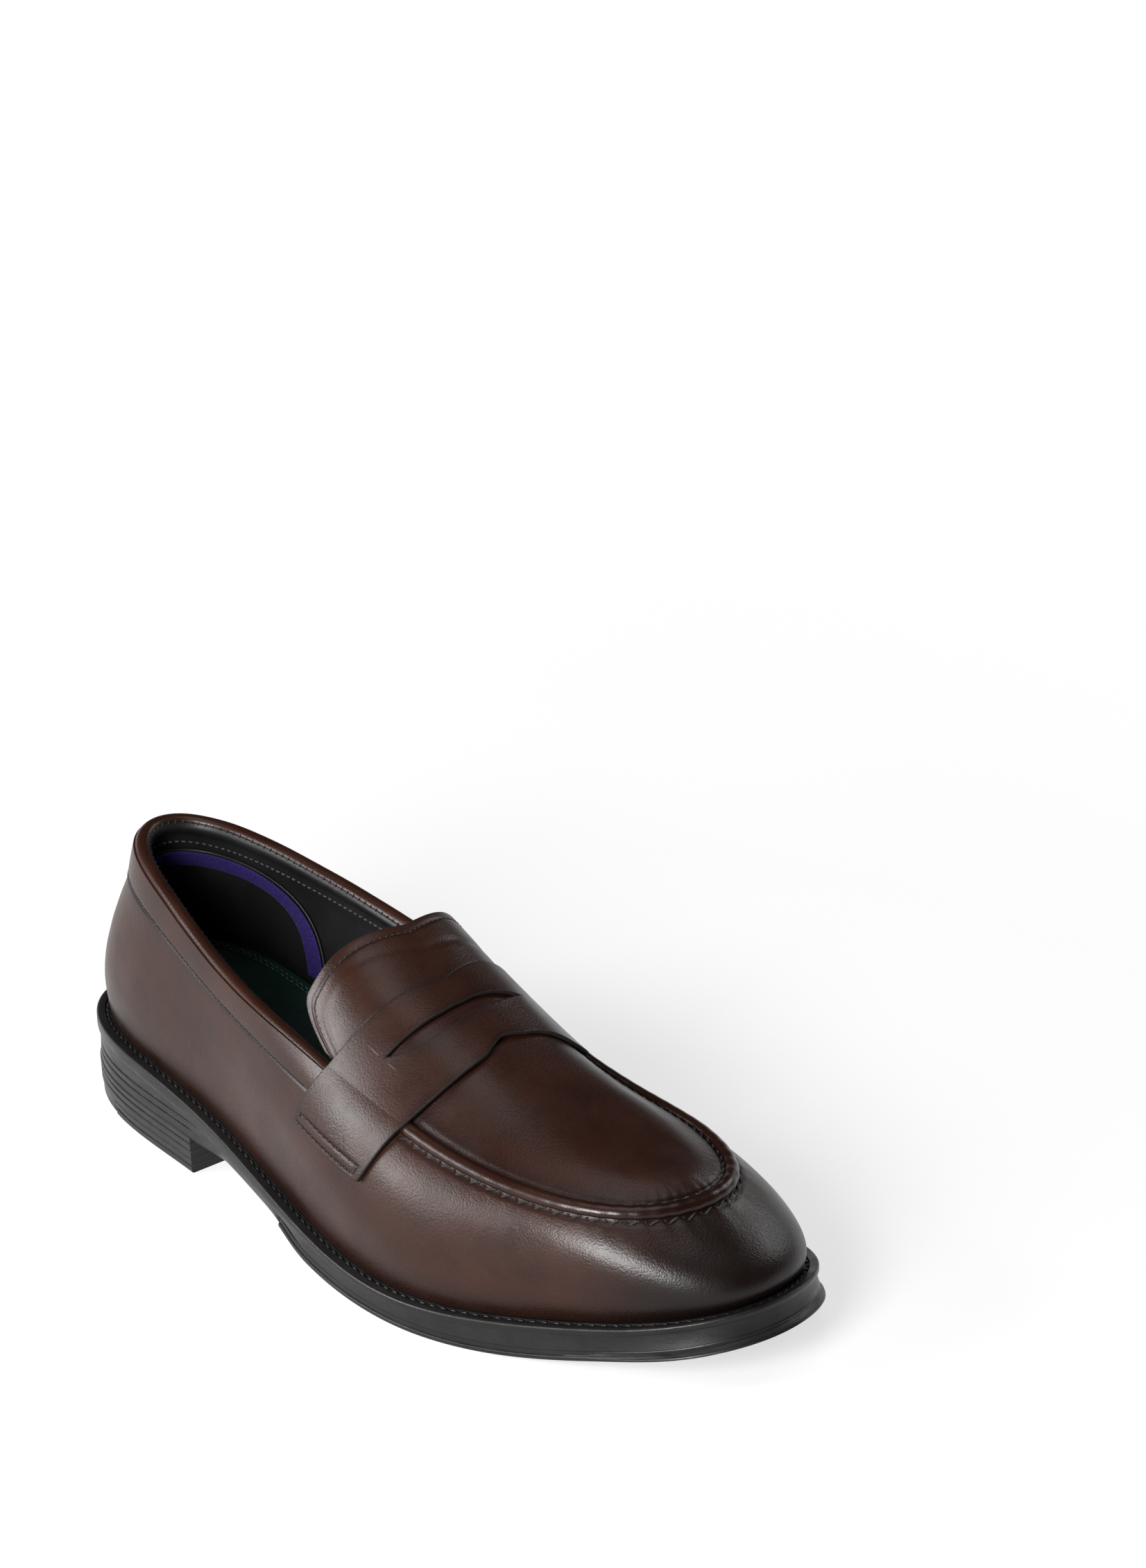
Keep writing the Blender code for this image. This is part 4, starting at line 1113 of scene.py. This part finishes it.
def layer(name, u0, u1, rows, levels, mat, cols=18, relief=None, **more):
    """A solid layer of the sole. levels give, from the top down, its edge's inset and height for each x."""
    u = np.linspace(u0, u1, rows)
    sides = [u, 2 - u]
    base = [outline(side) for side in sides]
    loops, edges = [], []
    s = np.linspace(0, 1, cols)[:, None]
    for inset, height in levels:
        pair = []
        for plan, out in base:
            x = plan[:, 0]
            z = height(x)
            spot = plan - out * np.asarray(inset(x, z))[:, None]
            pair.append(np.column_stack([spot, z]))
        lateral, medial = pair
        front = lateral[-1] * (1 - s) + medial[-1] * s
        back = medial[0] * (1 - s) + lateral[0] * s
        loops.append(np.concatenate([lateral, front[1:-1], medial[::-1], back[1:-1]]))
        edges.append(pair)
    side = np.stack(loops)
    verts, faces = [side.reshape(-1, 3)], [grid_faces(*side.shape[:2], wrap_cols=True)]
    start = side.shape[0] * side.shape[1]
    for level, flip in ((0, False), (-1, True)):
        lateral, medial = edges[level]
        grid = lateral[:, None] * (1 - s[None]) + medial[:, None] * s[None]
        x = grid[..., 0]
        inner = levels[level][1](x)
        grid[..., 2] = np.where((s[None, :, 0] > 0) & (s[None, :, 0] < 1), inner, grid[..., 2])
        grid[0, 1:-1] = loops[level][2 * rows + cols - 2:][::-1]
        grid[-1, 1:-1] = loops[level][rows:rows + cols - 2]
        if relief is not None and flip:
            grid[1:-1, 1:-1, 2] += relief(grid[1:-1, 1:-1])
        quad = grid_faces(rows, cols, start=start)
        verts.append(grid.reshape(-1, 3))
        faces.append(quad[:, ::-1] if flip else quad)
        start += rows * cols
    verts, faces = weld(np.concatenate(verts), np.concatenate(faces))
    return make_mesh(name, verts, faces, mat, **more)


def scores(z, heights, depth=0.55, width=0.28):
    """Depth of the fine level grooves moulded round the heel."""
    return sum(depth * hump(z, h, width) for h in heights)


def heel_share(x):
    return 1 - smooth(x, 80, 92)


def make_outsole():
    def bottom(x):
        step = np.where(x > TREAD_X + 0.2, TREAD + 0.02, 0)
        return np.where(x < BREAST_X, tread_z(BREAST_X), tread_z(x) + step)

    def top(x):
        return ledge_z(x) - lip(x) + 1.2

    def side(x, z):
        share = (ledge_z(x) - lip(x) - z) / np.maximum(ledge_z(x) - lip(x) - bottom(x), 0.5)
        waist = smooth(x, 84, 104) * (1 - smooth(x, 128, 158))
        share = np.clip(share, 0, 1)
        under = 3.0 * share ** 2.0 * waist - 1.3 * share ** 1.2 * smooth(x, 262, 292)
        recess = 0.85 + 0.1 * np.sin(pi * share)
        return recess + under + heel_share(x) * scores(z, (18.0, 15.4))
    levels = [(lambda x, z: np.full_like(x, 2.0), top), (side, top)]
    for f in np.linspace(0.05, 1, 84):
        levels.append((side, lambda x, f=f: top(x) + (bottom(x) - top(x)) * f))
    layer("outsole", 0, 1, 420, levels, RUBBER, nodes=["outsole"])


def make_tread():
    start = float(np.arccos(1 - 2 * TREAD_X / LENGTH) / pi)

    def flare(x):
        return 2.6 * smooth(x, 262, 292)

    def side(x, z):
        depth = (z - tread_z(x)) / TREAD
        lower = 1 - smooth(depth, 0.42, 0.55)
        lines = 0.22 * smooth(x, 250, 275) * np.sin(depth * pi * 6) ** 2
        waist = 2.4 * (1 - smooth(x, 128, 158))
        splay = flare(x) * (0.45 + 0.55 * np.clip(1 - depth, 0, 1) ** 1.3)
        return 0.75 - 0.6 * lower + lines + waist - splay + 0.3 * hump(depth, 0.02, 0.06)

    def grooves(p):
        away = np.minimum(p[..., 0] - TREAD_X, 292 - p[..., 0])
        chevron = p[..., 0] + 0.35 * np.abs(p[..., 1] + 4)
        cut = smooth(np.abs(np.mod(chevron, 7.5) - 3.75), 2.6, 3.0)
        return 1.1 * cut * smooth(away, 4, 8)
    levels = [(side, lambda x, f=f: tread_z(x) + TREAD * f) for f in np.linspace(1, 0, 16)]
    layer("tread", start, 1, 260, levels, RUBBER, cols=70, relief=grooves, nodes=["forefoot_tread"])


def make_heel():
    end = float(np.arccos(1 - 2 * BREAST_X / LENGTH) / pi)
    seat, top_piece = float(tread_z(BREAST_X)), 5.2

    def side(x, z):
        return 0.5 + 0.045 * (seat - z) + scores(z, (seat, 10.3, 7.7))
    levels = [(side, lambda x, z=z: np.full_like(x, z)) for z in np.linspace(seat, top_piece, 40)]
    layer("heel_block", 0, end, 150, levels, RUBBER, nodes=["heel_block"])

    def foot(x, z):
        front = smooth(x, 33, 34)
        rounded = 0.8 * (1 - np.sqrt(np.clip(1 - (1 - np.clip(z / 0.8, 0, 1)) ** 2, 0, 1)))
        insert = 0.35 * (1 - front) * (1 - smooth(z, 4.6, 4.9))
        insert = insert + 0.5 * hump(x, 33.5, 0.5) * (z < 4.8)
        edge = 0.85 + 0.045 * (top_piece - z) + scores(z, (5.15,)) + front * scores(z, (2.5,))
        return edge + rounded + insert

    def pits(p):
        cut = smooth(np.abs(np.mod(p[..., 0], 7.0) - 3.5), 2.4, 2.8)
        return 0.9 * cut * smooth(np.minimum(p[..., 0], BREAST_X - p[..., 0]), 5, 8)
    heights = np.concatenate([np.linspace(top_piece - 0.05, 0.8, 34), [0.5, 0.25, 0.1, 0.0]])
    levels = [(foot, lambda x, z=z: np.full_like(x, z)) for z in heights]
    layer("heel_top", 0, end, 150, levels, RUBBER, cols=40, relief=pits, nodes=["heel_top_piece"])


make_wall()
make_collar()
make_linings()
make_sock()
make_tongue()
make_strap()
make_apron()
make_ridge()
make_welt()
make_outsole()
make_tread()
make_heel()


# ---- floor, light and camera ----------------------------------------------------------------------
def make_floor():
    mesh = bpy.data.meshes.new("floor")
    mesh.from_pydata([(-6, -6, 0), (6, -6, 0), (6, 6, 0), (-6, 6, 0)], [], [(0, 1, 2, 3)])
    floor = bpy.data.objects.new("floor", mesh)
    bpy.context.scene.collection.objects.link(floor)
    n = Nodes("pale_floor")
    away = n.add("ShaderNodeVectorMath", operation="LENGTH")
    n.put(away.inputs[0], n.place)
    mesh.materials.append(n.done(n.mix(n.noise(3.0), (0.235,) * 3, (0.265,) * 3), 0.95))
    n.shader.inputs["Emission Color"].default_value = (1, 1, 1, 1)
    n.put(n.shader.inputs["Emission Strength"], n.span(away.outputs["Value"], 0.3, 1.4, 0.66, 1.0))


def softbox(name, azimuth, elevation, distance, width, height, power, aim=(0, 0, 0.04)):
    """A soft rectangular light at a direction from the shoe, in degrees."""
    a, e = radians(azimuth), radians(elevation)
    data = bpy.data.lights.new(name, "AREA")
    data.shape, data.size, data.size_y, data.energy = "RECTANGLE", width, height, power
    light = bpy.data.objects.new(name, data)
    way = np.array([np.cos(e) * np.cos(a), np.cos(e) * np.sin(a), np.sin(e)])
    light.location = way * distance + aim
    light.rotation_euler = light.location.to_track_quat("Z", "Y").to_euler()
    bpy.context.scene.collection.objects.link(light)


make_floor()
softbox("overhead", 0, 86, 1.5, 0.8, 0.8, 5)
softbox("camera_left", -66, 27, 1.3, 0.5, 0.45, 34)
softbox("far_left", -124, 22, 1.3, 0.7, 0.5, 21)
softbox("back_right", 84, 30, 1.4, 0.5, 0.4, 3.5)
world = bpy.data.worlds.new("room")
world.use_nodes = True
sky = world.node_tree
height = sky.nodes.new("ShaderNodeSeparateXYZ")
sky.links.new(sky.nodes.new("ShaderNodeTexCoord").outputs["Generated"], height.inputs[0])
fade = sky.nodes.new("ShaderNodeMapRange")
fade.interpolation_type = "SMOOTHSTEP"
for socket, value in zip(fade.inputs[1:], (0.06, 0.24, 0.95, 0.02)):
    socket.default_value = value
sky.links.new(height.outputs["Z"], fade.inputs[0])
sky.links.new(fade.outputs[0], sky.nodes["Background"].inputs["Strength"])
sky.nodes["Background"].inputs["Color"].default_value = (1, 1, 1, 1)
bpy.context.scene.world = world
bpy.context.scene.view_settings.view_transform = "Standard"

camera_data = bpy.data.cameras.new("camera")
camera_data.lens, camera_data.sensor_width = 95.53, 36
camera = bpy.data.objects.new("camera", camera_data)
camera.location = np.array([1027.269, -751.951, 608.696]) * MM + ORIGIN
camera.rotation_euler = (radians(68), 0, radians(47))
bpy.context.scene.collection.objects.link(camera)
bpy.context.scene.camera = camera
